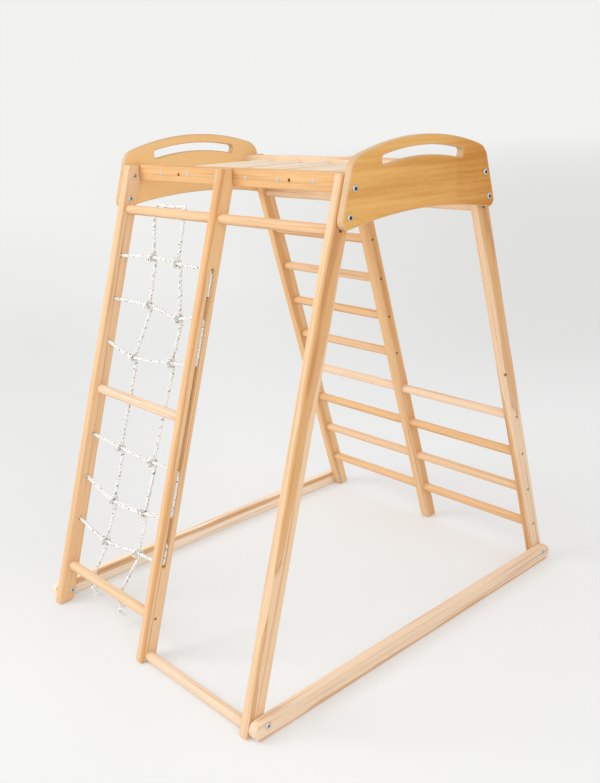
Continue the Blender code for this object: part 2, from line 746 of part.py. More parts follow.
def cut_pockets(stile, name, face, side, turns):
    """Ease the corners that the rope bends over, each at a hole and towards its groove."""
    half = ROPE_HOLE_DIAMETER / 2 - 2 * DRILL_CLEARANCE
    push = ladder_point(FRONT, 0, 0, 2 * half) - ladder_point(FRONT, 0, 0, 0)
    outlines = []
    for hole, way in turns:
        points = pocket_outline(hole, way)
        outlines.append([ladder_point(FRONT, face - side * depth, along, -half) for depth, along in points])
    cut(stile, block_cutter(name, outlines, push))


def block_cutter(name, outlines, push):
    """A cutter of several flat outlines, each pushed into a solid."""
    bm = bmesh.new()
    for outline in outlines:
        face = bm.faces.new([bm.verts.new(point) for point in outline])
        pushed = bmesh.ops.extrude_face_region(bm, geom=[face])
        moved = [item for item in pushed["geom"] if isinstance(item, bmesh.types.BMVert)]
        bmesh.ops.translate(bm, verts=moved, vec=push)
    return add_object(name, finish_mesh(bm, name), None)


def cut_rope_ways(stile, name, face, side, joins, tails):
    """Holes, grooves and eased corners for the net's rope in one front stile."""
    inner = face - side * STOCK_THICKNESS
    floor = face - side * (GROOVE_DEPTH - DRILL_CLEARANCE)
    runs = []
    for along in ROPE_HOLES:
        mouth = ladder_point(FRONT, inner - side * OVERCUT, along)
        runs.append((mouth, ladder_point(FRONT, floor, along)))
    spans = [(ROPE_HOLES[-1], ROPE_HOLES[0])] if tails else [(low, high) for high, low in joins]
    turns = [(high, -1) for high, _ in joins] + [(low, 1) for _, low in joins]
    if tails:
        turns += [(ROPE_HOLES[0], -1), (ROPE_HOLES[-1], 1)]
    climb = ladder_point(FRONT, 0, 1) - ladder_point(FRONT, 0, 0)
    cut_grooves(stile, name + "_grooves", face, side, spans)
    cut_cylinders(stile, name + "_rope_holes", ROPE_HOLE_DIAMETER / 2, ROPE_HOLE_SIDES, runs, climb)
    cut_pockets(stile, name + "_rope_pockets", face, side, turns)


def smooth_route(points):
    """Points on a smooth curve through a route's own points, about one rope step apart."""
    headings = []
    for number, point in enumerate(points):
        before = points[max(number - 1, 0)]
        after = points[min(number + 1, len(points) - 1)]
        headings.append((after - before).normalized())
    route = [points[0].copy()]
    for number in range(len(points) - 1):
        start, end = points[number], points[number + 1]
        length = (end - start).length
        steps = max(1, round(length / ROPE_STEP))
        for step in range(1, steps + 1):
            t = step / steps
            ease = t * t * (3 - 2 * t)
            leave = t * (1 - t) * (1 - t) * length
            arrive = t * t * (t - 1) * length
            route.append(start.lerp(end, ease) + headings[number] * leave + headings[number + 1] * arrive)
    return route


def row_points(row):
    """A row's points from its hole in the left stile over both crossings to the middle stile."""
    along = ROPE_HOLES[row]
    left_hole = ladder_point(FRONT, -INNER_FACE, along)
    right_hole = ladder_point(FRONT, -MIDDLE_FACE, along)
    left_cross = net_point(LEFT_CROSSINGS[row], left_hole.z)
    right_cross = net_point(RIGHT_CROSSINGS[row], right_hole.z)
    return [left_hole, left_cross, right_cross, right_hole]


def bend_points(face, side, hole, way):
    """The rope's quarter turn from a groove into a hole, from the groove's end on."""
    points = []
    for degrees in (0, 30, 60, 90):
        angle = math.radians(degrees)
        depth = ROPE_INSET + ROPE_BEND * (1 - math.cos(angle))
        along = hole + way * ROPE_BEND * (1 - math.sin(angle))
        points.append(ladder_point(FRONT, face - side * depth, along))
    return points


def serpentine_route():
    """The zigzag rope: tail in the middle stile's groove, six rows, tail in the groove again."""
    tail = (ROPE_HOLES[0] - ROPE_HOLES[1]) * TOP_TAIL_SHARE
    points = [ladder_point(FRONT, MIDDLE_FACE - ROPE_INSET, ROPE_HOLES[0] - tail)]
    points += bend_points(MIDDLE_FACE, RIGHT, ROPE_HOLES[0], -1)
    for row in range(len(ROPE_HOLES)):
        row_line = row_points(row)
        leftwards = row % 2 == 0
        points += reversed(row_line) if leftwards else row_line
        face, side = (-OUTER_FACE, LEFT) if leftwards else (MIDDLE_FACE, RIGHT)
        last = row == len(ROPE_HOLES) - 1
        way = 1 if last else -1
        points += reversed(bend_points(face, side, ROPE_HOLES[row], way))
        if not last:
            points += bend_points(face, side, ROPE_HOLES[row + 1], 1)
    end_tail = (ROPE_HOLES[4] - ROPE_HOLES[5]) * BOTTOM_TAIL_SHARE
    points.append(ladder_point(FRONT, MIDDLE_FACE - ROPE_INSET, ROPE_HOLES[5] + end_tail))
    return smooth_route(points)


def hitch_points(row, crossing):
    """One round turn of a hanger about a row, from behind it down, under, up the front and over."""
    line = row_points(row)
    axis = (line[crossing + 2] - line[crossing]).normalized()
    centre = line[crossing + 1]
    behind = (ladder_point(FRONT, 0, 0, 1) - ladder_point(FRONT, 0, 0, 0)).normalized()
    up = axis.cross(behind)
    up *= math.copysign(1.0, up.z)
    behind = (behind - axis * behind.dot(axis)).normalized()
    points = []
    for step in range(HITCH_POINTS + 1):
        part = step / HITCH_POINTS
        angle = -2 * math.pi * part
        shift = axis * HITCH_PITCH * (part - 0.5)
        points.append(centre + shift + HITCH_RADIUS * (behind * math.cos(angle) + up * math.sin(angle)))
    return points


def drop_points(crossing, end):
    """A hanger's way down from under the top rung to its stopper knot."""
    points = []
    for row in range(len(ROPE_HOLES)):
        points += hitch_points(row, crossing)
    bottom = net_point(end)
    return points + [bottom + Vector((0, 0, 2 * ROPE_DIAMETER)), bottom]


def rung_rise(share, way):
    """The rope's way up through a hole in the top rung, over the hole's edge and down on to the rung."""
    x = bay_x(share)
    top = TOP_RUNG + RUNG_DIAMETER / 2
    points = [ladder_point(FRONT, x, TOP_RUNG - RUNG_DIAMETER / 2 - OVERCUT)]
    for degrees in (0, 30, 60, 90):
        angle = math.radians(degrees)
        along = top + RUNG_BEND * math.sin(angle)
        points.append(ladder_point(FRONT, x + way * RUNG_BEND * (1 - math.cos(angle)), along))
    lying = top + ROPE_DIAMETER / 2 + 3 * ROPE_CLEARANCE
    points.append(ladder_point(FRONT, x + way * 4 * ROPE_DIAMETER, lying))
    return points


def hanger_route():
    """The rope laid over the top rung through its two holes, with a drop and its hitches on each side."""
    left, right = RUNG_HOLE_SHARES
    up = list(reversed(drop_points(0, LEFT_HANGER_END))) + rung_rise(left, 1)
    down = list(reversed(rung_rise(right, -1))) + drop_points(1, RIGHT_HANGER_END)
    return smooth_route(up + down)


def make_rope(name, route, finish):
    """A rope as a round tube along its route."""
    curve = bpy.data.curves.new(name, "CURVE")
    curve.dimensions = "3D"
    curve.bevel_depth = ROPE_DIAMETER / 2
    curve.bevel_resolution = 1
    curve.use_fill_caps = True
    spline = curve.splines.new("POLY")
    spline.points.add(len(route) - 1)
    for place, point in zip(spline.points, route):
        place.co = (*point, 1.0)
    spline.use_smooth = True
    curve.materials.append(finish)
    made = bpy.data.objects.new(name, curve)
    bpy.context.scene.collection.objects.link(made)


def least_gap(route):
    """The least gap of a rope to itself, measured on its points, leaving out close neighbours."""
    travelled = [0.0]
    for start, end in zip(route, route[1:]):
        travelled.append(travelled[-1] + (end - start).length)
    least = math.inf
    for i, first in enumerate(route):
        for j in range(i + 1, len(route)):
            if travelled[j] - travelled[i] > math.pi * ROPE_DIAMETER:
                least = min(least, (route[j] - first).length - ROPE_DIAMETER)
    return least, travelled[-1]


def make_net(finish):
    """Both ropes of the net and the stopper knots on the hangers' ends."""
    for name, route in (("net_rows", serpentine_route()), ("net_hangers", hanger_route())):
        make_rope(name, route, finish)
        gap, length = least_gap(route)
        print(f"{name}: {length:.3f} m long, least gap to itself {gap * 1000:.2f} mm")
    rope = ROPE_DIAMETER / 2
    profile = [(GAP, rope)]
    profile += [(STOPPER_HEIGHT * high, STOPPER_DIAMETER / 2 * wide) for high, wide in STOPPER_OUTLINE]
    profile += [(STOPPER_HEIGHT, rope), (STOPPER_HEIGHT + STOPPER_TAIL, rope)]
    frames = [frame_along(net_point(end), (0, 0, -1)) for end in (LEFT_HANGER_END, RIGHT_HANGER_END)]
    place_copies("net_stopper_knot", turned(profile, STOPPER_SIDES), frames, finish)


def main():
    """Build the whole frame."""
    for old in list(bpy.data.objects):
        bpy.data.objects.remove(old, do_unlink=True)
    pine = material("pine", (0.86, 0.60, 0.35), 0.5)
    gable_wood = material("gable_wood", (0.78, 0.45, 0.18), 0.45)
    steel = material("steel", (0.62, 0.61, 0.58), 0.3, 1.0)
    rope = material("rope", (0.82, 0.80, 0.74), 0.9)
    stiles = {}
    for facing in (FRONT, REAR):
        for place, x in STILE_CENTRES.items():
            stiles[stile_name(facing, place)] = make_stile(facing, place, x, pine)
    cut_sockets(stiles)
    cut_screw_sinks(stiles)
    cut_peg_holes(stiles)
    cut_bolt_holes(stiles)
    make_ladder_rungs(pine)
    make_top_rails(pine)
    make_top_rungs(pine)
    for side in (LEFT, RIGHT):
        make_gable(side, gable_wood)
        make_ground_rail(side, pine)
    make_bolts("gable", gable_bolt_places(), GABLE_THICKNESS, steel)
    make_bolts("ground_rail", ground_bolt_places(), STOCK_THICKNESS, steel)
    middle_joins = [(ROPE_HOLES[1], ROPE_HOLES[2]), (ROPE_HOLES[3], ROPE_HOLES[4])]
    outer_joins = [(ROPE_HOLES[i], ROPE_HOLES[i + 1]) for i in (0, 2, 4)]
    middle = stile_name(FRONT, "middle")
    outer = stile_name(FRONT, "left")
    cut_rope_ways(stiles[middle], middle, MIDDLE_FACE, RIGHT, middle_joins, True)
    cut_rope_ways(stiles[outer], outer, -OUTER_FACE, LEFT, outer_joins, False)
    make_net(rope)


main()
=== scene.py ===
"""Finishes for the indoor climbing frame: timber, gable boards, rope net, fasteners and the stage.

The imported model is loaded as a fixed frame, in metres and +Z up. Each operator adds one kind of
piece in its place and gives it its finish.
"""

import math

import bmesh
import bpy
from bpy.props import FloatProperty, FloatVectorProperty, PointerProperty
from mathutils import Matrix, Vector


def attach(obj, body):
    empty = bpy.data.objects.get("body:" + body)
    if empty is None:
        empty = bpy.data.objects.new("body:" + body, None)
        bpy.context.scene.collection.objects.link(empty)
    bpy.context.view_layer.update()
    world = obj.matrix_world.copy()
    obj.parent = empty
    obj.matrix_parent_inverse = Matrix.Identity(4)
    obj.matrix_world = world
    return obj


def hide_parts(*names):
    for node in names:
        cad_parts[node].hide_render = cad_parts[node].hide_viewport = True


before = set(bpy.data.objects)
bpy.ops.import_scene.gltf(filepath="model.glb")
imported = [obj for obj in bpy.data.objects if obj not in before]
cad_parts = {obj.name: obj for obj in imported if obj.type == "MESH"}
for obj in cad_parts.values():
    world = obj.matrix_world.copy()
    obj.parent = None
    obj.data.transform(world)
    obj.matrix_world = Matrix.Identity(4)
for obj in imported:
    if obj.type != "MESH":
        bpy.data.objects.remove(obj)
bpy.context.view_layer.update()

bl_info = {
    "name": "Indoor climbing frame finishes",
    "version": (1, 0, 0),
    "blender": (4, 5, 0),
    "location": "View3D > Sidebar > Climbing Frame",
    "description": "Adds the timber, rope, steel and stage of an indoor climbing frame",
    "category": "Object",
}

FULL_TURN = 2 * math.pi
QUARTER = math.pi / 2
FRONT = -1
REAR = 1
LEFT = -1
RIGHT = 1

# How a pattern is turned so that its Z axis, the grain, lies along X or along Y
ALONG_X = (0, QUARTER, 0)
ALONG_Y = (QUARTER, 0, 0)

# The frame's own sizes, in metres
LEAN = math.radians(16.0)
SLOPE = math.tan(LEAN)
FRAME_WIDTH = 0.900
FOOT_SPREAD = 1.276
FRAME_HEIGHT = 1.294
STOCK_THICKNESS = 0.028
STOCK_DEPTH = 0.048
STOCK_RUN = STOCK_DEPTH / math.cos(LEAN)
OUTER_FACE = FRAME_WIDTH / 2
INNER_FACE = OUTER_FACE - STOCK_THICKNESS
MIDDLE_FACE = STOCK_THICKNESS / 2
STILE_X = OUTER_FACE - STOCK_THICKNESS / 2
RAIL_FACE = FOOT_SPREAD / 2 - STOCK_RUN - (FRAME_HEIGHT - STOCK_DEPTH) * SLOPE
RAIL_MIDDLE = FRAME_HEIGHT - STOCK_DEPTH / 2

# The gap between two pieces that fit together
GAP = 0.0003

# How finely round shapes are divided: the sides of a full turn, and the steps of an arc
DOWEL_SIDES = 48
HOLE_SIDES = 24
BORE_SIDES = 20
FLOOR_SIDES = 96
ARCH_STEPS = 24
CORNER_STEPS = 10
SHOULDER_STEPS = 12
HANDLE_STEPS = 16
HANDLE_CORNER_STEPS = 6
RAIL_END_STEPS = 24

# How near two vertices are merged, up to what angle faces count as one flat face, and from how many degrees
# on an edge is shaded sharp
MERGE_DISTANCE = 0.00001
ROPE_MERGE_DISTANCE = 0.000001
FLAT_ANGLE = math.radians(0.5)
TIMBER_SHARP_ANGLE = 50.0
ROPE_SHARP_ANGLE = 60.0

# Rungs: their size, how far they reach into a stile, their places along the stiles, and how many there are
RUNG_DIAMETER = 0.028
RUNG_EDGE = 0.001
SOCKET_END = 0.0137
TOP_RUNG = 1.212
MIDDLE_RUNG = 0.667
BOTTOM_RUNG = 0.1185
DOORWAY_RUNG = 0.0157
REAR_FIRST_RUNG = 0.132
REAR_PITCH = 0.135
REAR_RUNGS = 9
REAR_WIDE_RUNGS = 4
TOP_RUNGS = 6
TOP_RUNG_PITCH = 0.1265

# Gable boards, with the edge that the ground rails share
GABLE_THICKNESS = 0.022
GABLE_HEIGHT = 1.371
GABLE_TOP_RADIUS = 0.770
GABLE_ARCH_HEIGHT = 1.192
GABLE_ARCH_RADIUS = 1.500
GABLE_SETBACK = 0.003
GABLE_SHOULDER_RADIUS = 0.050
GABLE_CORNER_RADIUS = 0.020
GABLE_SEAM = 0.128
BOARD_EDGE = 0.0045
HANDLE_RIM = 0.026
HANDLE_WIDTH = 0.0245
HANDLE_HALF_LENGTH = 0.154
HANDLE_CORNER_RADIUS = 0.009
GABLE_BOLT_HEIGHTS = (1.196, 1.261)

# Ground rails
GROUND_RAIL_LENGTH = 1.260
GROUND_BOLT_OFFSET = 0.590
GROUND_BOLT_HEIGHT = 0.033

# Fasteners. A crown is the radius of a head's flat top, as a share of the head's diameter, and the skirt and
# the socket's depth are shares of the head's height.
BOLT_SHANK = 0.006
BARREL_DIAMETER = 0.0086
BARREL_LENGTH = 0.020
BOLT_IN_BARREL = 0.012
BORE_DIAMETER = 0.0066
BOLT_CROWN = 0.30
NUT_CROWN = 0.32
RUNG_SCREW_CROWN = 0.38
RUNG_SCREW_HEIGHT = 0.0022
DISC_SCREW_CROWN = 0.33
DISC_SCREW_HEIGHT = 0.0012
SCREW_SINK_DEPTH = 0.006
SCREW_GAP = 0.0001
CROWN_MARGIN = 0.0004
HEAD_SKIRT = 0.2
SOCKET_DEPTH = 0.3
SOCKET_MIDDLE = 0.0005

# Faces of a head's crown lie above this share of its height, and face outward at least this much
CROWN_LEVEL = 0.3
CROWN_UPRIGHT = 0.6

# The net's route: the rope in its holes and grooves, its bends over edges, its hitches and its tails
ROPE_DIAMETER = 0.010
ROPE_HOLE_DIAMETER = 0.0122
ROPE_INSET = 0.0055
ROPE_BEND = 0.0135
RUNG_BEND = 0.009
RUNG_CLEARANCE = 0.0012
HOLE_MARGIN = 0.002
BEND_DEGREES = (0, 30, 60, 90)
HITCH_POINTS = 20
HITCH_PITCH = 0.0118
HITCH_RADIUS = 0.01094
ROPE_HOLES = (1.0735, 0.943, 0.8125, 0.527, 0.396, 0.265)
TOP_TAIL = 0.0705
BOTTOM_TAIL = 0.0616

# Where the hangers cross each row: x, height and distance behind the ladder's middle plane
LEFT_CROSSINGS = (
    (-0.277, 1.0394, 0.006),
    (-0.273, 0.9032, 0.016),
    (-0.297, 0.7528, 0.010),
    (-0.296, 0.4936, 0.014),
    (-0.291, 0.3405, 0.016),
    (-0.296, 0.2228, 0.014),
)
RIGHT_CROSSINGS = (
    (-0.159, 1.0341, 0.006),
    (-0.123, 0.8874, 0.016),
    (-0.118, 0.7672, 0.010),
    (-0.132, 0.4916, 0.014),
    (-0.138, 0.3477, 0.016),
    (-0.133, 0.2381, 0.014),
)
HANGER_ENDS = ((-0.333, 0.0850, 0.0265), (-0.190, 0.0800, 0.0265))

# The x of the two holes that take the hangers through the top rung
RUNG_HOLES = (-0.2865, -0.1480)

# A stopper knot from the hanger's end on: distance from the middle, turn in degrees and drop. The second knot
# is turned by KNOT_TWIST against the first.
KNOT_TURNS = (
    (0.0, 0, 0.0005),
    (0.0, 0, 0.012),
    (0.0006, 60, 0.021),
    (0.0045, 120, 0.0265),
    (0.0076, 190, 0.0240),
    (0.0082, 250, 0.0190),
    (0.0080, 310, 0.0140),
    (0.0078, 370, 0.0085),
    (0.0076, 440, 0.0062),
    (0.0078, 500, 0.0075),
    (0.0080, 560, 0.0110),
    (0.0080, 620, 0.0155),
    (0.0078, 680, 0.0200),
    (0.0066, 730, 0.0250),
    (0.0052, 760, 0.0310),
    (0.0048, 770, 0.0380),
)
KNOT_TWIST = 150

# A knot's rings lie closer than the rope's others, by this share
KNOT_RING_SHARE = 0.7

# The rope's section and the turn of its cloth
SECTION_POINTS = 18
STRAND_DEPTH = 0.28
CLOTH_TURN = math.radians(38)

# The loose yarns at its ends, of three kinds: how many, the shortest, how much longer and how much further
# round the next kind is, and how far apart their rings lie
YARNS = 9
YARN_KINDS = 3
YARN_LENGTH = 0.013
YARN_STEP = 0.004
YARN_TURN = 0.7
YARN_RING_STEP = 0.002

# The stiles' timber: ladder, x, how pale it is at the floor and at the top, and its darker hearts. The change
# in paleness is partly the wood's own tone and partly painted light, a paler foot for light from the floor. A
# heart is two places in the cross-section, low and high, each sideways and behind, and a radius.
STILE_LOOKS = (
    ("front_stile_left", FRONT, -STILE_X, (0.35, 0.5), ()),
    ("front_stile_middle", FRONT, 0.0, (0.5, 0.2), (((0.013, -0.026), (0.012, -0.024), 0.008),)),
    ("front_stile_right", FRONT, STILE_X, (0.6, 0.5), (((0.043, -0.026), (0.032, -0.004), 0.031),)),
    ("rear_stile_left", REAR, -STILE_X, (0.35, 0.1), (((0.016, 0.010), (0.016, 0.010), 0.007),)),
    ("rear_stile_middle", REAR, 0.0, (0.4, 0.1), (((0.024, -0.004), (0.016, -0.004), 0.014),)),
    (
        "rear_stile_right",
        REAR,
        STILE_X,
        (0.9, 0.6),
        (((0.050, 0.000), (0.033, 0.000), 0.032), ((-0.018, 0.030), (-0.062, 0.030), 0.029)),
    ),
)
REAR_STILE_KNOT = (0.4500, 0.4022, 0.6626)

# How pale each rung is, in the order of rung_plan, and how far its heart lies below and before its middle
RUNG_PALENESS = (0.45, 1.0, 0.6, 0.95, 0.35, 0.6, 0.2, 1.0, 0.45, 0.3, 0.5, 0.3, 0.7)
RUNG_PITH = (0.013, 0.006)

# The wood's patterns: how fine each one is, and how far it is drawn out along the grain
FIBRE_SCALE = 950.0
BLOTCH_SCALE = 26.0
STREAK_SCALE = 150.0
HEART_SCALE = 45.0
RING_DRAW = (1, 1, 0.055)
FIBRE_DRAW = (1, 1, 0.022)
STREAK_DRAW = (1, 1, 0.014)
HEART_DRAW = (1, 1, 0.12)

# Heartwood: the heights of a heart's low and high places, the width of its edge line and of its rings
HEART_HEIGHTS = (0.1, 1.1)
HEART_LINE = 0.0013
HEART_RING = 0.011

# How deep a pattern's bump is at full strength
RELIEF_DEPTH = 0.0004

# The camera: turn, pitch and roll in degrees, place in metres, and shift of the picture.
# The lamps: place, what each one faces, and size.
CAMERA_ANGLES = (47.75, 14.18, -2.17)
CAMERA_PLACE = (1.9079, -1.7915, 1.4559)
CAMERA_SHIFT = (0.02068, -0.07328)
LAMP_TINT = (1.0, 0.995, 0.985)
KEY_LAMP = ((-2.4, -3.4, 3.3), (0, 0, 0.6), 2.6)
FILL_LAMP = ((3.0, -1.9, 2.0), (0, 0, 0.7), 2.4)
FLOOR_RADIUS = 40.0
FLOOR_DROP = 0.0004

# The floor's shade follows the camera's view: its heading over the floor and its distance from the middle
VIEW_ACROSS = 0.672
VIEW_AHEAD = 0.740
VIEW_DISTANCE = 2.62


def colour(name, description, default):
    """A colour that a user may change."""
    return FloatVectorProperty(
        name=name, description=description, subtype="COLOR", size=3, min=0.0, max=1.0, default=default
    )


def length(name, description, default):
    """A length in metres that a user may change."""
    return FloatProperty(name=name, description=description, unit="LENGTH", precision=4, default=default)


def amount(name, description, default, unit="NONE"):
    """A strength, power or focal length that a user may change."""
    return FloatProperty(name=name, description=description, unit=unit, default=default)


class TimberSettings(bpy.types.PropertyGroup):
    """Colours and grain of the planed and turned timber."""

    early_wood: colour("Early wood", "Colour of the pale bands of the grain", (0.86, 0.545, 0.250))
    late_wood: colour("Late wood", "Colour of the darker bands of the grain", (0.77, 0.395, 0.130))
    # The streak colour also tints the painted shade in the wood's hollows
    streak_and_shade: colour("Streak", "Colour of the broad dark streaks", (0.50, 0.205, 0.07))
    pale: colour("Pale wood", "Colour of the pale pieces", (0.90, 0.675, 0.480))
    # Painted light: the palest wood stands in for light on the top rungs and on the left ground rail, which
    # lie in shade
    lit_pale_wood: colour("Lit pale wood", "Colour of the palest pieces", (0.98, 0.82, 0.65))
    heart: colour("Heart wood", "Colour of the heart of the timber", (0.72, 0.370, 0.120))
    ring_width: length("Ring width", "Distance between two growth rings", 0.0052)
    fibre: amount("Fibre", "Depth of the wood's fibres", 0.12)


class GableSettings(bpy.types.PropertyGroup):
    """Colours and boards of the glued gable panels."""

    early_wood: colour("Early wood", "Colour of the pale bands of the grain", (0.82, 0.45, 0.130))
    late_wood: colour("Late wood", "Colour of the darker bands of the grain", (0.56, 0.215, 0.018))
    pale: colour("Pale wood", "Colour of the paler board", (0.98, 0.65, 0.31))
    edge: colour("Edge", "Colour of the rounded edges", (0.72, 0.47, 0.25))
    board_width: length("Board width", "Width of each board in the glued panel", 0.058)


class RopeSettings(bpy.types.PropertyGroup):
    """The laid rope of the net."""

    diameter: length("Diameter", "Diameter of the rope", ROPE_DIAMETER)
    yarn: length("Yarn", "Thickness of the loose yarns at the rope's ends", 0.0018)
    lay: length("Lay", "Length of one full turn of a strand", 0.040)
    ring_step: length("Ring step", "Distance between two rings of the rope's mesh", 0.0016)
    strand: colour("Strand", "Colour of the cotton strands", (0.99, 0.985, 0.96))
    # The groove colour is painted shade down between the strands
    groove: colour("Groove", "Colour down between the strands", (0.43, 0.425, 0.40))
    fleck: colour("Fleck", "Colour of the darker yarns", (0.10, 0.095, 0.085))


class FastenerSettings(bpy.types.PropertyGroup):
    """Bolts, sleeve nuts and screws."""

    steel: colour("Steel", "Colour of the zinc-plated steel", (0.74, 0.74, 0.72))
    bolt_head: length("Bolt head", "Diameter of a bolt's domed head", 0.017)
    bolt_head_height: length("Bolt head height", "Height of a bolt's domed head", 0.0028)
    nut_head: length("Nut head", "Diameter of a sleeve nut's head", 0.017)
    nut_head_height: length("Nut head height", "Height of a sleeve nut's head", 0.0017)
    hex_socket: length("Hex socket", "Width of the hexagonal sockets across their corners", 0.0056)
    rung_screw_head: length("Rung screw head", "Diameter of the screws sunk into the stiles", 0.0072)
    disc_screw_head: length("Disc screw head", "Diameter of the screws' discs on the top rails", 0.012)


class StageSettings(bpy.types.PropertyGroup):
    """Floor, light and camera."""

    floor: colour("Floor", "Colour of the floor", (0.90, 0.912, 0.92))
    backdrop: colour("Backdrop", "Colour behind the frame", (0.885, 0.885, 0.87))
    daylight: amount("Daylight", "Strength of the light from all sides", 0.78)
    key_power: amount("Key light", "Power of the main lamp", 88.0, "POWER")
    fill_power: amount("Fill light", "Power of the fill lamp", 22.0, "POWER")
    focal_length: amount("Focal length", "Focal length on a 36 mm frame", 42.017, "CAMERA")


def settings(name):
    """The scene's own copy of one group of settings."""
    return getattr(bpy.context.scene, "climbing_frame_" + name)


# Geometry helpers


def ladder_point(facing, x, along, behind=0.0):
    """A point given along a ladder from its foot, and behind its middle plane towards the inside."""
    middle = FOOT_SPREAD / 2 - STOCK_RUN / 2
    y = middle - along * math.sin(LEAN) - behind * math.cos(LEAN)
    z = along * math.cos(LEAN) - behind * math.sin(LEAN)
    return Vector((x, facing * y, z))


def net_point(place):
    """A point of the net from its x, its height and its distance behind the front ladder."""
    x, height, behind = place
    along = (height + behind * math.sin(LEAN)) / math.cos(LEAN)
    return ladder_point(FRONT, x, along, behind)


def frame_along(place, direction):
    """A matrix that stands a form's Z axis at a place, along a direction."""
    axis = Vector(direction).normalized()
    return Matrix.Translation(place) @ axis.to_track_quat("Z", "Y").to_matrix().to_4x4()


def placed(name, data):
    """A new object of some data, in the scene."""
    made = bpy.data.objects.new(name, data)
    bpy.context.scene.collection.objects.link(made)
    return made


def discard(store, helpers):
    """Remove helper objects, and their data from the store that holds it."""
    for helper in helpers:
        data = helper.data
        bpy.data.objects.remove(helper)
        store.remove(data)


def mesh_of(name, bm):
    """A mesh made from a bmesh, which is freed."""
    mesh = bpy.data.meshes.new(name)
    bm.to_mesh(mesh)
    bm.free()
    return mesh


def join(whole, part):
    """Add one bmesh to another and free it."""
    mesh = mesh_of("part", part)
    whole.from_mesh(mesh)
    bpy.data.meshes.remove(mesh)


def add_piece(name, bm, material, nodes=(), smooth_angle=35.0):
    """One finished piece, of one material or a few, that rides on the frame and stands for its nodes."""
    bmesh.ops.recalc_face_normals(bm, faces=bm.faces)
    mesh = mesh_of(name, bm)
    for part in material if isinstance(material, tuple) else (material,):
        mesh.materials.append(part)
    mesh.shade_smooth()
    mesh.set_sharp_from_angle(angle=math.radians(smooth_angle))
    piece = placed(name, mesh)
    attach(piece, "root")
    if nodes:
        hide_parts(*nodes)
    return piece


def even_normals(piece):
    """Let the large flat faces set the shading, so that the rounded edges read as round."""
    weighted = piece.modifiers.new("even_normals", "WEIGHTED_NORMAL")
    weighted.keep_sharp = True
    weighted.weight = 80


def ring_edges(verts):
    """The edges that join two of a ring's own vertices."""
    own = dict.fromkeys(verts)
    edges = [edge for vert in own for edge in vert.link_edges if edge.other_vert(vert) in own]
    return list(dict.fromkeys(edges))


def ring(bm, radius, height, sides):
    """A ring of edges round the Z axis."""
    place = Matrix.Translation((0, 0, height))
    made = bmesh.ops.create_circle(bm, cap_ends=False, radius=radius, segments=sides, matrix=place)
    return ring_edges(made["verts"])


def bridge(bm, loops):
    """Skin each loop of edges to the next one."""
    for lower, upper in zip(loops, loops[1:]):
        bmesh.ops.bridge_loops(bm, edges=lower + upper)


def rod(radius, long, sides):
    """A bmesh of a round rod that stands on the origin."""
    bm = bmesh.new()
    ends = [bm.verts.new((radius, 0, height)) for height in (0, long)]
    side = [bm.edges.new(ends)]
    bmesh.ops.spin(bm, geom=ends + side, axis=(0, 0, 1), angle=FULL_TURN, steps=sides, use_merge=True)
    bmesh.ops.holes_fill(bm, edges=bm.edges, sides=0)
    return bm


def arc(centre, radius, start, end, steps):
    """Points on an arc, both ends included, with angles in radians."""
    points = []
    for step in range(steps + 1):
        angle = start + (end - start) * step / steps
        points.append((centre[0] + radius * math.cos(angle), centre[1] + radius * math.sin(angle)))
    return points


# Steps of a finish


def fill(tree, node, sockets):
    """Link or set a node's sockets."""
    for name, value in sockets.items():
        if isinstance(value, bpy.types.NodeSocket):
            tree.links.new(value, node.inputs[name])
        else:
            node.inputs[name].default_value = value


def add_node(tree, kind, sockets=None, **options):
    """A shader node with its options, its sockets linked or set."""
    node = tree.nodes.new("ShaderNode" + kind)
    for name, value in options.items():
        setattr(node, name, value)
    fill(tree, node, sockets or {})
    return node


def new_material(name):
    """A material, its node tree and its shader."""
    material = bpy.data.materials.new(name)
    material.use_nodes = True
    tree = material.node_tree
    return material, tree, tree.nodes["Principled BSDF"]


def calc(tree, operation, first, second=0.0, third=0.0, clamp=False):
    """The result of one sum."""
    values = {0: first, 1: second, 2: third}
    return add_node(tree, "Math", values, operation=operation, use_clamp=clamp).outputs[0]


def measure(tree, operation, first, second=(0, 0, 0)):
    """The length of one vector, or the distance between two places."""
    return add_node(tree, "VectorMath", {0: first, 1: second}, operation=operation).outputs["Value"]


def ramp(tree, value, start, end, low=0.0, high=1.0, ease="LINEAR"):
    """A value taken from one range to another and held at both ends."""
    sockets = {"Value": value, "From Min": start, "From Max": end, "To Min": low, "To Max": high}
    return add_node(tree, "MapRange", sockets, interpolation_type=ease).outputs[0]


def mix(tree, factor, first, second, blend="MIX"):
    """A colour between two colours."""
    sockets = {0: factor, 6: first, 7: second}
    return add_node(tree, "Mix", sockets, data_type="RGBA", blend_type=blend).outputs[2]


def opaque(rgb, factor=1.0):
    """A colour with alpha, made lighter or darker by a factor."""
    return (*(min(1.0, channel * factor) for channel in rgb), 1.0)


def object_place(tree):
    """The place on a piece, which is its place in the frame too."""
    return add_node(tree, "TexCoord").outputs["Object"]


def mapped(tree, place, scale=(1, 1, 1), turn=(0, 0, 0), shift=(0, 0, 0)):
    """A place that is scaled, turned and shifted."""
    sockets = {"Vector": place, "Scale": scale, "Rotation": turn, "Location": shift}
    return add_node(tree, "Mapping", sockets).outputs[0]


def split(tree, place):
    """The three numbers of a place."""
    return add_node(tree, "SeparateXYZ", {0: place}).outputs


def noise(tree, place, scale, detail):
    """Cloudy noise round a half."""
    return add_node(tree, "TexNoise", {"Vector": place, "Scale": scale, "Detail": detail}).outputs["Fac"]


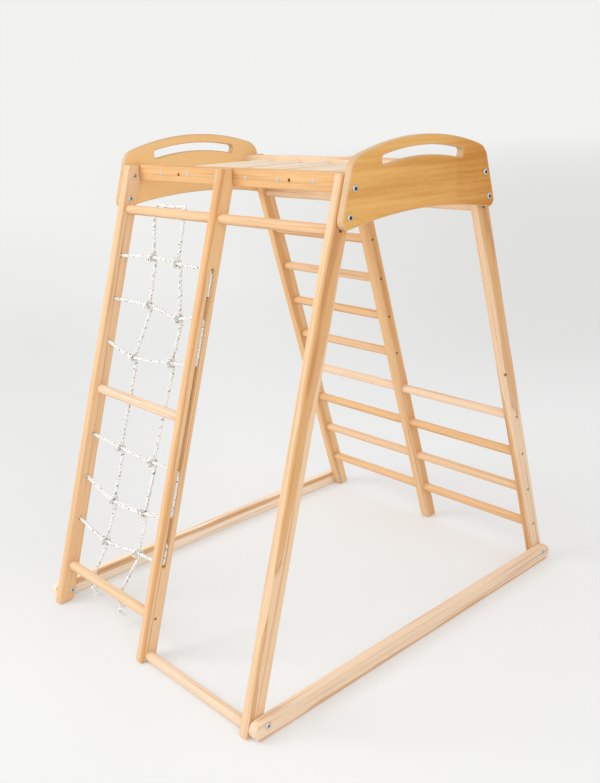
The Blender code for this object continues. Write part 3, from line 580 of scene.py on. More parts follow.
def waves(tree, place, scale, bend, detail, detail_scale, **options):
    """Bent waves, as rings or bands."""
    sockets = {"Vector": place, "Scale": scale, "Distortion": bend, "Detail": detail}
    sockets["Detail Scale"] = detail_scale
    return add_node(tree, "TexWave", sockets, **options).outputs["Fac"]


def relief(tree, height, strength):
    """Fine bumps that follow a pattern."""
    sockets = {"Height": height, "Strength": strength, "Distance": RELIEF_DEPTH}
    return add_node(tree, "Bump", sockets).outputs[0]


# Finishes


def grain(tree, turned, ring_width):
    """The wood's own bands, fibres and blotches, with the grain along the turned Z axis."""
    drawn = mapped(tree, turned, RING_DRAW)
    scale = 0.314 / ring_width
    rings = waves(
        tree, drawn, scale, 5.5, 2.0, 0.32, wave_type="RINGS", rings_direction="Z", wave_profile="SAW"
    )
    fibre = noise(tree, mapped(tree, turned, FIBRE_DRAW), FIBRE_SCALE, 3.0)
    return rings, fibre, noise(tree, drawn, BLOTCH_SCALE, 3.0)


def finish_wood(tree, shader, base, fibre, depth):
    """Satin lacquer over wood: painted shade darkens the hollows, and the fibres show in the bump and in the
    gloss.
    """
    # Painted shade: ambient occlusion darkens the colour in holes, sinks and grooves towards the streak
    # colour
    hollow_shade = add_node(tree, "AmbientOcclusion", {"Distance": 0.009}, samples=6, only_local=True)
    unshaded_part = ramp(tree, hollow_shade.outputs["AO"], 0.25, 0.85)
    shaded = mix(tree, 1.0, base, opaque(settings("timber").streak_and_shade, 0.42), "MULTIPLY")
    lacquer = {
        "Base Color": mix(tree, unshaded_part, shaded, base),
        "Roughness": ramp(tree, fibre, 0.3, 0.7, 0.42, 0.56),
        "Normal": relief(tree, fibre, depth),
        "Specular IOR Level": 0.32,
        "Coat Weight": 0.05,
        "Coat Roughness": 0.3,
    }
    fill(tree, shader, lacquer)


def heartwood(tree, place, turn, heart):
    """The darker heart, a wavy column round a line along the piece, and the thin dark rings in it."""
    low, high, radius = heart
    turned = mapped(tree, place, turn=turn)
    axes = split(tree, turned)
    gaps = {}
    for axis in (0, 1):
        line = ramp(tree, axes[2], *HEART_HEIGHTS, low[axis], high[axis])
        gaps[axis] = calc(tree, "SUBTRACT", axes[axis], line)
    away = measure(tree, "LENGTH", add_node(tree, "CombineXYZ", gaps).outputs[0])
    wave = noise(tree, mapped(tree, turned, HEART_DRAW), HEART_SCALE, 1.5)
    away = calc(tree, "ADD", away, calc(tree, "MULTIPLY_ADD", wave, 0.018, -0.009))
    past = calc(tree, "SUBTRACT", away, radius)
    inside = ramp(tree, past, -0.004, 0.001, 1.0, 0.0)
    edge_line = ramp(tree, calc(tree, "ABSOLUTE", past), 0.0, HEART_LINE, 1.0, 0.0)
    wave = calc(tree, "COSINE", calc(tree, "MULTIPLY", past, math.pi / HEART_RING))
    lines = calc(tree, "POWER", calc(tree, "ABSOLUTE", wave), 4.0)
    return inside, calc(tree, "MAXIMUM", edge_line, calc(tree, "MULTIPLY", lines, inside))


def timber(name, turn, offset, pale, hearts=(), knot=None, palest=None):
    """Lacquered timber with its grain along the turned Z axis, from one paleness at the floor to another."""
    look = settings("timber")
    material, tree, shader = new_material(name)
    place = object_place(tree)
    turned = mapped(tree, place, turn=turn, shift=offset)
    rings, fibre, blotch = grain(tree, turned, look.ring_width)
    late = calc(tree, "MULTIPLY", calc(tree, "POWER", rings, 3.0), 0.5)
    threads = calc(tree, "MULTIPLY_ADD", fibre, 1.3, -0.52)
    cloud = calc(tree, "MULTIPLY_ADD", blotch, 2.2, -0.86)
    dark = calc(tree, "ADD", calc(tree, "ADD", late, threads), cloud, clamp=True)
    base = mix(tree, dark, opaque(look.early_wood), opaque(look.late_wood))
    # Paleness from the floor to the top: partly the wood's own tone, and on some stiles partly painted light,
    # a paler foot for light thrown up from the bright floor
    pale_and_floor_light = ramp(tree, split(tree, place)[2], 0.0, FRAME_HEIGHT, *pale)
    base = mix(tree, pale_and_floor_light, base, opaque(palest or look.pale))
    broad = noise(tree, mapped(tree, turned, STREAK_DRAW), STREAK_SCALE, 2.0)
    base = mix(tree, ramp(tree, broad, 0.54, 0.72, 0.0, 0.55), base, opaque(look.streak_and_shade))
    for heart in hearts:
        inside, line = heartwood(tree, place, turn, heart)
        base = mix(tree, calc(tree, "MULTIPLY", inside, 0.8), base, opaque(look.heart))
        base = mix(tree, calc(tree, "MULTIPLY", line, 0.6), base, opaque(look.streak_and_shade))
    if knot:
        gap = calc(tree, "MULTIPLY_ADD", blotch, 0.006, measure(tree, "DISTANCE", place, knot))
        dark = ramp(tree, gap, 0.0065, 0.010, 0.9, 0.0)
        base = mix(tree, dark, base, opaque(look.streak_and_shade, 0.35))
    finish_wood(tree, shader, base, fibre, look.fibre)
    return material


def gable_panel(name, offset, pale):
    """A panel glued up from boards with a seam across them, pale on its rounded edges, with painted shade
    that darkens it towards the rear.
    """
    look = settings("gable")
    material, tree, shader = new_material(name)
    coordinates = add_node(tree, "TexCoord").outputs
    place = coordinates["Object"]
    turned = mapped(tree, place, turn=ALONG_Y, shift=offset)
    rings, fibre, blotch = grain(tree, turned, look.board_width / 5)
    axes = split(tree, place)
    board = calc(tree, "FLOOR", calc(tree, "MULTIPLY_ADD", axes[2], 1.0 / look.board_width, offset[0]))
    past = calc(tree, "GREATER_THAN", axes[1], GABLE_SEAM)
    board = calc(tree, "MULTIPLY_ADD", past, 17.0, board)
    shade = add_node(tree, "TexWhiteNoise", {"W": board}, noise_dimensions="1D").outputs["Value"]
    late = calc(tree, "MULTIPLY", calc(tree, "POWER", rings, 3.0), 0.20)
    cloud = calc(tree, "MULTIPLY_ADD", blotch, 2.0, -0.85)
    threads = calc(tree, "MULTIPLY_ADD", fibre, 0.9, -0.38)
    dark = calc(tree, "ADD", calc(tree, "ADD", late, cloud), threads)
    # Board tone and the seam are the wood's own; the Y term is painted shade, darkening the panel towards the
    # rear where less light falls
    for value, share in ((shade, 0.34), (axes[1], 1.2), (past, 0.16)):
        dark = calc(tree, "MULTIPLY_ADD", value, share, dark)
    dark = add_node(tree, "Clamp", {0: dark}).outputs[0]
    face = mix(tree, dark, opaque(look.early_wood), opaque(look.late_wood))
    face = mix(tree, pale, face, opaque(look.pale))
    rim = ramp(tree, calc(tree, "ABSOLUTE", split(tree, coordinates["Normal"])[0]), 0.80, 0.97, 1.0, 0.0)
    edge = mix(tree, dark, opaque(look.edge), opaque(look.edge, 0.84))
    finish_wood(tree, shader, mix(tree, rim, face, edge), fibre, 0.1)
    return material


def rope_finish(name, long):
    """Cotton rope: white strands, with dark yarns that follow the lay, and painted shade in the soft grooves
    between the strands.
    """
    look = settings("rope")
    material, tree, shader = new_material(name)
    along, around, _ = split(tree, add_node(tree, "TexCoord").outputs["UV"])
    along = calc(tree, "MULTIPLY", along, long)
    lobe = calc(tree, "ABSOLUTE", calc(tree, "COSINE", calc(tree, "MULTIPLY", around, 3 * math.pi)))
    # Painted shade: the grooves between the strands are darkened
    groove_shade = ramp(tree, lobe, 0.05, 0.5, 0.8, 0.0)
    across = calc(tree, "MULTIPLY", around, math.pi * look.diameter)
    cloth = add_node(tree, "CombineXYZ", {0: across, 1: along}).outputs[0]
    place = mapped(tree, cloth, turn=(0, 0, CLOTH_TURN))
    yarns = waves(tree, place, 260.0, 1.2, 1.0, 90.0, wave_type="BANDS", bands_direction="X")
    specks = noise(tree, mapped(tree, place, (1, 0.5, 1)), 210.0, 0.5)
    base = mix(tree, calc(tree, "MULTIPLY", yarns, 0.12), opaque(look.strand), opaque(look.strand, 0.85))
    base = mix(tree, groove_shade, base, opaque(look.groove))
    base = mix(tree, ramp(tree, specks, 0.61, 0.66, 0.0, 0.75), base, opaque(look.fleck))
    cotton = {"Base Color": base, "Normal": relief(tree, yarns, 0.4), "Roughness": 0.9, "Sheen Weight": 0.35}
    fill(tree, shader, cotton)
    return material


def zinc(name, shade=1.0, matt=0.2):
    """Zinc-plated steel with a slightly uneven gloss."""
    steel = settings("fastener").steel
    material, tree, shader = new_material(name)
    cloud = noise(tree, object_place(tree), 700.0, 3.0)
    base = mix(tree, cloud, opaque(steel, shade), opaque(steel, shade * 0.8))
    gloss = ramp(tree, cloud, 0.0, 1.0, matt, matt + 0.2)
    fill(tree, shader, {"Base Color": base, "Roughness": gloss, "Metallic": 1.0})
    return material


# Timber


def smoothed_copy(node, material):
    """A node's own shape with its loose triangles merged and its rounded edges shaded round."""
    bm = bmesh.new()
    bm.from_mesh(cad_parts[node].data)
    bmesh.ops.remove_doubles(bm, verts=bm.verts, dist=MERGE_DISTANCE)
    bmesh.ops.dissolve_limit(bm, angle_limit=FLAT_ANGLE, verts=bm.verts, edges=bm.edges)
    even_normals(add_piece(node + "_timber", bm, material, [node], TIMBER_SHARP_ANGLE))


class CLIMBING_FRAME_OT_stiles(bpy.types.Operator):
    """Give the six leaning stiles their smooth edges and timber"""

    bl_idname = "climbing_frame.stiles"
    bl_label = "Stiles"

    def execute(self, context):
        middle = (FOOT_SPREAD / 2 - STOCK_RUN / 2) * math.cos(LEAN)
        for name, facing, x, pale, columns in STILE_LOOKS:
            hearts = []
            for *ends, radius in columns:
                low, high = ((x + side, facing * (middle - behind)) for side, behind in ends)
                hearts.append((low, high, radius))
            offset = (0.05 + 0.3 * x, 0.034 * facing, 0.9 * x)
            knot = REAR_STILE_KNOT if name == "rear_stile_right" else None
            turn = (facing * -LEAN, 0, 0)
            smoothed_copy(name, timber(name + "_wood", turn, offset, pale, hearts, knot))
        return {"FINISHED"}


class CLIMBING_FRAME_OT_top_rails(bpy.types.Operator):
    """Give the two top rails their smooth edges and timber"""

    bl_idname = "climbing_frame.top_rails"
    bl_label = "Top rails"

    def execute(self, context):
        for node, shift, pale in (("top_rail_front", 0.3, 0.1), ("top_rail_rear", 0.5, 0.85)):
            smoothed_copy(node, timber(node + "_wood", ALONG_X, (0.07, shift, 0.1), (pale, pale)))
        return {"FINISHED"}


def rung_plan():
    """Every ladder rung: node, ladder, place along the stiles, left stile, right stile, screwed ends."""
    both = (LEFT, RIGHT)
    plan = [
        ("front_top_rung", FRONT, TOP_RUNG, -STILE_X, STILE_X, both),
        ("front_middle_rung", FRONT, MIDDLE_RUNG, -STILE_X, 0.0, ()),
        ("front_bottom_rung", FRONT, BOTTOM_RUNG, -STILE_X, 0.0, both),
        ("doorway_bottom_rung", FRONT, DOORWAY_RUNG, 0.0, STILE_X, both),
    ]
    for number in range(REAR_RUNGS):
        wide = number < REAR_WIDE_RUNGS or number == REAR_RUNGS - 1
        right = STILE_X if wide else 0.0
        along = REAR_FIRST_RUNG + REAR_PITCH * number
        plan.append((f"rear_rung_{number + 1}", REAR, along, -STILE_X, right, both))
    return plan


def drilled(bm, name, radius, runs):
    """The same shape with round holes, each from a start point to an end point."""
    cutter = bmesh.new()
    for start, end in runs:
        hole = rod(radius, (end - start).length, HOLE_SIDES)
        hole.transform(frame_along(start, end - start))
        bmesh.ops.recalc_face_normals(hole, faces=hole.faces)
        join(cutter, hole)
    bmesh.ops.recalc_face_normals(bm, faces=bm.faces)
    made = [placed(name, mesh_of(name, form)) for form in (bm, cutter)]
    cut = made[0].modifiers.new("holes", "BOOLEAN")
    cut.operation = "DIFFERENCE"
    cut.solver = "EXACT"
    cut.object = made[1]
    bpy.context.view_layer.update()
    result = bmesh.new()
    result.from_object(made[0], bpy.context.evaluated_depsgraph_get())
    discard(bpy.data.meshes, made)
    return result


def make_dowel(name, start, end, material):
    """A turned dowel with softened ends."""
    radius = RUNG_DIAMETER / 2
    bm = rod(radius, (end - start).length, DOWEL_SIDES)
    rims = [edge for edge in bm.edges if abs(edge.verts[0].co.z - edge.verts[1].co.z) < GAP]
    bmesh.ops.bevel(bm, geom=rims, offset=RUNG_EDGE, segments=2, profile=0.5, affect="EDGES", material=-1)
    bm.transform(frame_along(start, end - start))
    if name == "front_top_rung":
        reach = radius + HOLE_MARGIN
        ends = (TOP_RUNG - reach, TOP_RUNG + reach)
        runs = [[ladder_point(FRONT, x, along) for along in ends] for x in RUNG_HOLES]
        bm = drilled(bm, name, ROPE_HOLE_DIAMETER / 2, runs)
    add_piece(name + "_dowel", bm, material, [name])


class CLIMBING_FRAME_OT_ladder_rungs(bpy.types.Operator):
    """Turn the round rungs of both ladders"""

    bl_idname = "climbing_frame.ladder_rungs"
    bl_label = "Ladder rungs"

    def execute(self, context):
        half = STOCK_THICKNESS / 2
        below, before = RUNG_PITH
        for number, (name, facing, along, left, right, _) in enumerate(rung_plan()):
            middle = ladder_point(facing, 0.0, along)
            pith = (middle.z - below, middle.y - before)
            pale = RUNG_PALENESS[number]
            hearts = [(pith, pith, 0.011 - 0.012 * pale)] if pale < 0.5 else []
            offset = (0.02 * number, 0.013, 0.3 * number)
            finish = timber(name + "_wood", ALONG_X, offset, (pale, pale), hearts)
            start = ladder_point(facing, left + half - SOCKET_END, along)
            make_dowel(name, start, ladder_point(facing, right - half + SOCKET_END, along), finish)
        return {"FINISHED"}


def top_rung_places():
    """The x of each cross rung between the top rails."""
    return [(number - (TOP_RUNGS - 1) / 2) * TOP_RUNG_PITCH for number in range(TOP_RUNGS)]


class CLIMBING_FRAME_OT_top_rungs(bpy.types.Operator):
    """Turn the cross rungs between the top rails"""

    bl_idname = "climbing_frame.top_rungs"
    bl_label = "Top rungs"

    def execute(self, context):
        # Painted light: the top rungs take the palest wood, standing in for the light that the gable keeps
        # off their sides
        palest = settings("timber").lit_pale_wood
        material = timber("top_rung_wood", ALONG_Y, (0.02, 0.0, 0.03), (1.0, 1.0), palest=palest)
        reach = RAIL_FACE - STOCK_THICKNESS + SOCKET_END
        for number, x in enumerate(top_rung_places()):
            start, end = (Vector((x, y, RAIL_MIDDLE)) for y in (-reach, reach))
            make_dowel(f"top_rung_{number + 1}", start, end, material)
        return {"FINISHED"}


# Gables and ground rails


def circle_meets_line(centre, reach, point, direction):
    """Where a line meets a circle, on the side that the direction points to."""
    offset = point - centre
    half = offset.dot(direction)
    root = math.sqrt(half * half - offset.length_squared + reach * reach)
    return point + direction * (root - half)


def gable_outline(inset):
    """A gable's outline in Y and Z, drawn in by an inset, from the bottom middle round to it again."""
    arch_centre = Vector((0, GABLE_ARCH_HEIGHT - GABLE_ARCH_RADIUS))
    top_centre = Vector((0, GABLE_HEIGHT - GABLE_TOP_RADIUS))
    edge = Vector((FOOT_SPREAD / 2 - GABLE_SETBACK, 0.0))
    climb = Vector((-math.sin(LEAN), math.cos(LEAN)))
    inward = Vector((-math.cos(LEAN), -math.sin(LEAN)))
    corner_line = edge + inward * GABLE_CORNER_RADIUS
    corner = circle_meets_line(arch_centre, GABLE_ARCH_RADIUS + GABLE_CORNER_RADIUS, corner_line, climb)
    shoulder_line = edge + inward * GABLE_SHOULDER_RADIUS
    shoulder = circle_meets_line(top_centre, GABLE_TOP_RADIUS - GABLE_SHOULDER_RADIUS, shoulder_line, climb)
    out = math.atan2(-inward.y, -inward.x)
    arch_end = math.atan2(corner.y - arch_centre.y, corner.x - arch_centre.x)
    top_end = math.atan2(shoulder.y - top_centre.y, shoulder.x - top_centre.x)
    half = arc(arch_centre, GABLE_ARCH_RADIUS + inset, QUARTER, arch_end, ARCH_STEPS)[:-1]
    half += arc(corner, GABLE_CORNER_RADIUS - inset, arch_end - math.pi, out, CORNER_STEPS)
    half += arc(shoulder, GABLE_SHOULDER_RADIUS - inset, out, top_end, SHOULDER_STEPS)[:-1]
    half += arc(top_centre, GABLE_TOP_RADIUS - inset, top_end, QUARTER, ARCH_STEPS)
    return half + [(-y, z) for y, z in reversed(half[1:-1])]


def handle_outline(grow):
    """The handle slot's outline in Y and Z, widened by an amount: a bent slot with round corners."""
    centre = Vector((0, GABLE_HEIGHT - GABLE_TOP_RADIUS))
    outer = GABLE_TOP_RADIUS - HANDLE_RIM
    inner = outer - HANDLE_WIDTH
    corner = HANDLE_CORNER_RADIUS
    half_angle = math.asin(HANDLE_HALF_LENGTH / (inner + HANDLE_WIDTH / 2))
    low_angle = half_angle - math.asin(corner / (inner + corner))
    high_angle = half_angle - math.asin(corner / (outer - corner))
    low = centre + (inner + corner) * Vector((math.sin(low_angle), math.cos(low_angle)))
    high = centre + (outer - corner) * Vector((math.sin(high_angle), math.cos(high_angle)))
    half = arc(centre, inner - grow, QUARTER, QUARTER - low_angle, HANDLE_STEPS)[:-1]
    half += arc(low, corner + grow, -QUARTER - low_angle, -half_angle, HANDLE_CORNER_STEPS)
    half += arc(high, corner + grow, -half_angle, QUARTER - high_angle, HANDLE_CORNER_STEPS)
    half += arc(centre, outer + grow, QUARTER - high_angle, QUARTER, HANDLE_STEPS)[1:]
    return half + [(-y, z) for y, z in reversed(half[1:-1])]


def rail_outline(inset):
    """A ground rail's outline in Y and Z, drawn in by an inset, with half-round ends."""
    radius = STOCK_DEPTH / 2
    reach = GROUND_RAIL_LENGTH / 2 - radius
    front = arc((reach, radius), radius - inset, -QUARTER, QUARTER, RAIL_END_STEPS)
    return front + arc((-reach, radius), radius - inset, QUARTER, 3 * QUARTER, RAIL_END_STEPS)


def edge_rings(low_x, high_x):
    """The x and the inset of each ring across a board's thickness, its edges rounded."""
    rings = []
    steps = 5
    for step in range(steps + 1):
        angle = QUARTER * step / steps
        rings.append((low_x + BOARD_EDGE * (1 - math.sin(angle)), BOARD_EDGE * (1 - math.cos(angle))))
    rings.reverse()
    return rings + [(low_x + high_x - x, inset) for x, inset in reversed(rings)]


def loft(bm, outlines):
    """Skin a stack of closed outlines and give back the first and the last loop of edges."""
    loops = []
    for x, points in outlines:
        verts = [bm.verts.new((x, y, z)) for y, z in points]
        loops.append([bm.edges.new(pair) for pair in zip(verts, verts[1:] + verts[:1])])
    bridge(bm, loops)
    return loops[0], loops[-1]


def shaped_board(side, thickness, outlines, bolts):
    """A bmesh of a board outside the stiles, from outlines that take an inset, with bores for its bolts."""
    near = OUTER_FACE + GAP
    faces = sorted((side * near, side * (near + thickness)))
    bm = bmesh.new()
    rims = [loft(bm, [(x, outline(inset)) for x, inset in edge_rings(*faces)]) for outline in outlines]
    for centre in bolts:
        bore = arc(centre, BORE_DIAMETER / 2, 0, FULL_TURN, BORE_SIDES)[:-1]
        rims.append(loft(bm, [(x, bore) for x in faces]))
    for loops in zip(*rims):
        bmesh.ops.triangle_fill(bm, edges=sum(loops, []), use_beauty=True, use_dissolve=False)
    return bm


def gable_bolt_places():
    """Y and Z of the four gable bolts, on the middle lines of the stiles."""
    places = []
    for facing in (FRONT, REAR):
        for height in GABLE_BOLT_HEIGHTS:
            point = ladder_point(facing, 0.0, height / math.cos(LEAN))
            places.append((point.y, point.z))
    return places


def ground_bolt_places():
    """Y and Z of the two bolts in each ground rail."""
    return [(facing * GROUND_BOLT_OFFSET, GROUND_BOLT_HEIGHT) for facing in (FRONT, REAR)]


class CLIMBING_FRAME_OT_gables(bpy.types.Operator):
    """Shape the two arched gable boards with their handle slots"""

    bl_idname = "climbing_frame.gables"
    bl_label = "Gable boards"

    def execute(self, context):
        outlines = (gable_outline, handle_outline)
        for side, node, pale in ((LEFT, "gable_left", 0.8), (RIGHT, "gable_right", 0.0)):
            bm = shaped_board(side, GABLE_THICKNESS, outlines, gable_bolt_places())
            material = gable_panel(node + "_panel", (0.31 + 0.2 * side, 0.05, 0.12), pale)
            even_normals(add_piece(node + "_board", bm, material, [node], 40.0))
        return {"FINISHED"}


class CLIMBING_FRAME_OT_ground_rails(bpy.types.Operator):
    """Shape the two ground rails with their half-round ends"""

    bl_idname = "climbing_frame.ground_rails"
    bl_label = "Ground rails"

    def execute(self, context):
        lit_pale_wood = settings("timber").lit_pale_wood
        near = OUTER_FACE + GAP
        # The left rail is paler than the right: its extra paleness is painted light for a rail that stands in
        # shade
        for side, node, pith, palest in (
            (LEFT, "ground_rail_left", (-near, -0.040), lit_pale_wood),
            (RIGHT, "ground_rail_right", (near + STOCK_THICKNESS, -0.001), None),
        ):
            bm = shaped_board(side, STOCK_THICKNESS, (rail_outline,), ground_bolt_places())
            offset = (0.09, 0.02 * side, 0.2)
            hearts = [(pith, pith, 0.008)]
            material = timber(node + "_wood", ALONG_Y, offset, (1.0, 1.0), hearts, palest=palest)
            even_normals(add_piece(node + "_timber", bm, material, [node], 40.0))
        return {"FINISHED"}


# Rope


def smooth_route(points, ring_step):
    """Points on a smooth curve through a route's own points, about one ring step apart."""
    headings = []
    for number in range(len(points)):
        before = points[max(number - 1, 0)]
        after = points[min(number + 1, len(points) - 1)]
        headings.append((after - before).normalized())
    route = [points[0].copy()]
    for number in range(len(points) - 1):
        start, end = points[number], points[number + 1]
        span = (end - start).length
        steps = max(1, round(span / ring_step))
        for step in range(1, steps + 1):
            t = step / steps
            ease = t * t * (3 - 2 * t)
            leave = t * (1 - t) * (1 - t) * span
            arrive = t * t * (t - 1) * span
            route.append(start.lerp(end, ease) + headings[number] * leave + headings[number + 1] * arrive)
    return route


def row_points(row):
    """A row's points from its hole in the left stile over both crossings to the middle stile."""
    left_hole, right_hole = (ladder_point(FRONT, x, ROPE_HOLES[row]) for x in (-INNER_FACE, -MIDDLE_FACE))
    return [left_hole, net_point(LEFT_CROSSINGS[row]), net_point(RIGHT_CROSSINGS[row]), right_hole]


def bend_points(face, side, hole, way):
    """The rope's quarter turn from a groove into a hole, from the groove's end on."""
    points = []
    for degrees in BEND_DEGREES:
        angle = math.radians(degrees)
        depth = ROPE_INSET + ROPE_BEND * (1 - math.cos(angle))
        along = hole + way * ROPE_BEND * (1 - math.sin(angle))
        points.append(ladder_point(FRONT, face - side * depth, along))
    return points


def serpentine_points():
    """The zigzag rope: tail in the middle stile's groove, six rows, tail in the groove again."""
    groove = MIDDLE_FACE - ROPE_INSET
    points = [ladder_point(FRONT, groove, ROPE_HOLES[0] - TOP_TAIL)]
    points += bend_points(MIDDLE_FACE, RIGHT, ROPE_HOLES[0], -1)
    for row in range(len(ROPE_HOLES)):
        row_line = row_points(row)
        leftwards = row % 2 == 0
        points += reversed(row_line) if leftwards else row_line
        face, side = (-OUTER_FACE, LEFT) if leftwards else (MIDDLE_FACE, RIGHT)
        last = row == len(ROPE_HOLES) - 1
        points += reversed(bend_points(face, side, ROPE_HOLES[row], 1 if last else -1))
        if not last:
            points += bend_points(face, side, ROPE_HOLES[row + 1], 1)
    points.append(ladder_point(FRONT, groove, ROPE_HOLES[-1] + BOTTOM_TAIL))
    return points


def hitch_points(row, crossing):
    """One round turn of a hanger about a row, from behind it down, under, up the front and over."""
    line = row_points(row)
    axis = (line[crossing + 2] - line[crossing]).normalized()
    behind = (ladder_point(FRONT, 0, 0, 1) - ladder_point(FRONT, 0, 0, 0)).normalized()
    up = axis.cross(behind)
    up *= math.copysign(1.0, up.z)
    behind = (behind - axis * behind.dot(axis)).normalized()
    points = []
    for step in range(HITCH_POINTS + 1):
        part = step / HITCH_POINTS
        angle = -FULL_TURN * part
        turn = HITCH_RADIUS * (behind * math.cos(angle) + up * math.sin(angle))
        points.append(line[crossing + 1] + axis * HITCH_PITCH * (part - 0.5) + turn)
    return points


def drop_points(crossing):
    """A hanger's way down from under the top rung to its stopper knot."""
    points = []
    for row in range(len(ROPE_HOLES)):
        points += hitch_points(row, crossing)
    bottom = net_point(HANGER_ENDS[crossing])
    return points + [bottom + Vector((0, 0, 2 * ROPE_DIAMETER)), bottom]


def rung_rise(x, way):
    """The rope's way up through a hole in the top rung, over the hole's edge and down on to the rung."""
    top = TOP_RUNG + RUNG_DIAMETER / 2
    points = [ladder_point(FRONT, x, TOP_RUNG - RUNG_DIAMETER / 2 - HOLE_MARGIN)]
    for degrees in BEND_DEGREES:
        angle = math.radians(degrees)
        along = top + RUNG_BEND * math.sin(angle)
        points.append(ladder_point(FRONT, x + way * RUNG_BEND * (1 - math.cos(angle)), along))
    lying = top + ROPE_DIAMETER / 2 + RUNG_CLEARANCE
    points.append(ladder_point(FRONT, x + way * 4 * ROPE_DIAMETER, lying))
    return points


def hanger_points():
    """The rope laid over the top rung through its two holes, with a drop and its hitches on each side."""
    left, right = RUNG_HOLES
    up = list(reversed(drop_points(0))) + rung_rise(left, 1)
    return up + list(reversed(rung_rise(right, -1))) + drop_points(1)


def strand_profile(name, diameter):
    """The rope's cross-section: three strands with a groove between each two."""
    outline = bpy.data.curves.new(name, "CURVE")
    outline.dimensions = "2D"
    spline = outline.splines.new("POLY")
    spline.points.add(SECTION_POINTS - 1)
    for number, point in enumerate(spline.points):
        angle = FULL_TURN * number / SECTION_POINTS
        bulge = abs(math.cos(1.5 * angle)) ** 0.8
        radius = diameter / 2 * (1 - STRAND_DEPTH + STRAND_DEPTH * bulge)
        point.co = (radius * math.cos(angle), radius * math.sin(angle), 0, 1)
    spline.use_cyclic_u = True
    return placed(name, outline)


def laid_rope(name, route, diameter):
    """A bmesh of a three-strand rope along a route, with U along it and V round it, and its length."""
    profile = strand_profile(name + "_profile", diameter)
    curve = bpy.data.curves.new(name, "CURVE")
    curve.dimensions = "3D"
    curve.twist_mode = "MINIMUM"
    curve.bevel_mode = "OBJECT"
    curve.bevel_object = profile
    curve.use_fill_caps = True
    spline = curve.splines.new("POLY")
    spline.points.add(len(route) - 1)
    travelled = 0.0
    for number, point in enumerate(route):
        if number:
            travelled += (point - route[number - 1]).length
        spline.points[number].co = (*point, 1.0)
        spline.points[number].tilt = FULL_TURN * travelled / settings("rope").lay
    guide = placed(name + "_guide", curve)
    bpy.context.view_layer.update()
    mesh = bpy.data.meshes.new_from_object(guide.evaluated_get(bpy.context.evaluated_depsgraph_get()))
    bm = bmesh.new()
    bm.from_mesh(mesh)
    bmesh.ops.remove_doubles(bm, verts=bm.verts, dist=ROPE_MERGE_DISTANCE)
    bpy.data.meshes.remove(mesh)
    discard(bpy.data.curves, (guide, profile))
    return bm, travelled


def frayed_end(name, place):
    """A bmesh of the loose yarns that spread out below the end of a rope."""
    bm = bmesh.new()
    for number in range(YARNS):
        kind = number % YARN_KINDS
        angle = FULL_TURN * number / YARNS + YARN_TURN * kind
        outward = Vector((math.cos(angle), math.sin(angle), 0))
        long = YARN_LENGTH + YARN_STEP * kind
        steps = ((0.05, -0.3), (0.2, 0.1), (0.55, 0.45), (0.9, 0.6), (1.15, 0.9 + 0.1 * (number % 2)))
        points = [place + long * (outward * wide + Vector((0, 0, -deep))) for wide, deep in steps]
        yarn, _ = laid_rope(f"{name}_{number}", smooth_route(points, YARN_RING_STEP), settings("rope").yarn)
        join(bm, yarn)
    return bm


class CLIMBING_FRAME_OT_stopper_knots(bpy.types.Operator):
    """Tie the stopper knots on the hangers' lower ends"""

    bl_idname = "climbing_frame.stopper_knots"
    bl_label = "Stopper knots"

    def execute(self, context):
        look = settings("rope")
        for number, place in enumerate(HANGER_ENDS):
            start = net_point(place)
            points = []
            for radius, degrees, drop in KNOT_TURNS:
                angle = math.radians(degrees + KNOT_TWIST * number)
                points.append(start + Vector((radius * math.cos(angle), radius * math.sin(angle), -drop)))
            name = f"stopper_knot_{number + 1}"
            bm, long = laid_rope(name, smooth_route(points, look.ring_step * KNOT_RING_SHARE), look.diameter)
            cotton = rope_finish(f"net_{name}_cotton", long)
            add_piece(name, bm, cotton, ["net_" + name], ROPE_SHARP_ANGLE)
            name = f"stopper_knot_yarns_{number + 1}"
            add_piece(name, frayed_end(name, points[-1]), cotton, (), ROPE_SHARP_ANGLE)
        return {"FINISHED"}


class CLIMBING_FRAME_OT_net(bpy.types.Operator):
    """Lay the net's two ropes through the stiles and over the top rung"""

    bl_idname = "climbing_frame.net"
    bl_label = "Rope net"

    def execute(self, context):
        look = settings("rope")
        names = ("stopper_knot_1", "stopper_knot_2", "stopper_knot_yarns_1", "stopper_knot_yarns_2")
        knots = [bpy.data.objects[name] for name in names]
        for node, points, far_end, lay, carried in (
            ("net_rows", serpentine_points(), "object", "taut", []),
            ("net_hangers", hanger_points(), "knot", "hanging", knots),
        ):
            route = smooth_route(points, look.ring_step)
            bm, long = laid_rope(node + "_rope", route, look.diameter)
            cotton = rope_finish(node + "_cotton", long)
            rope = add_piece(node + "_rope", bm, cotton, [node], ROPE_SHARP_ANGLE)
        return {"FINISHED"}


# Fasteners


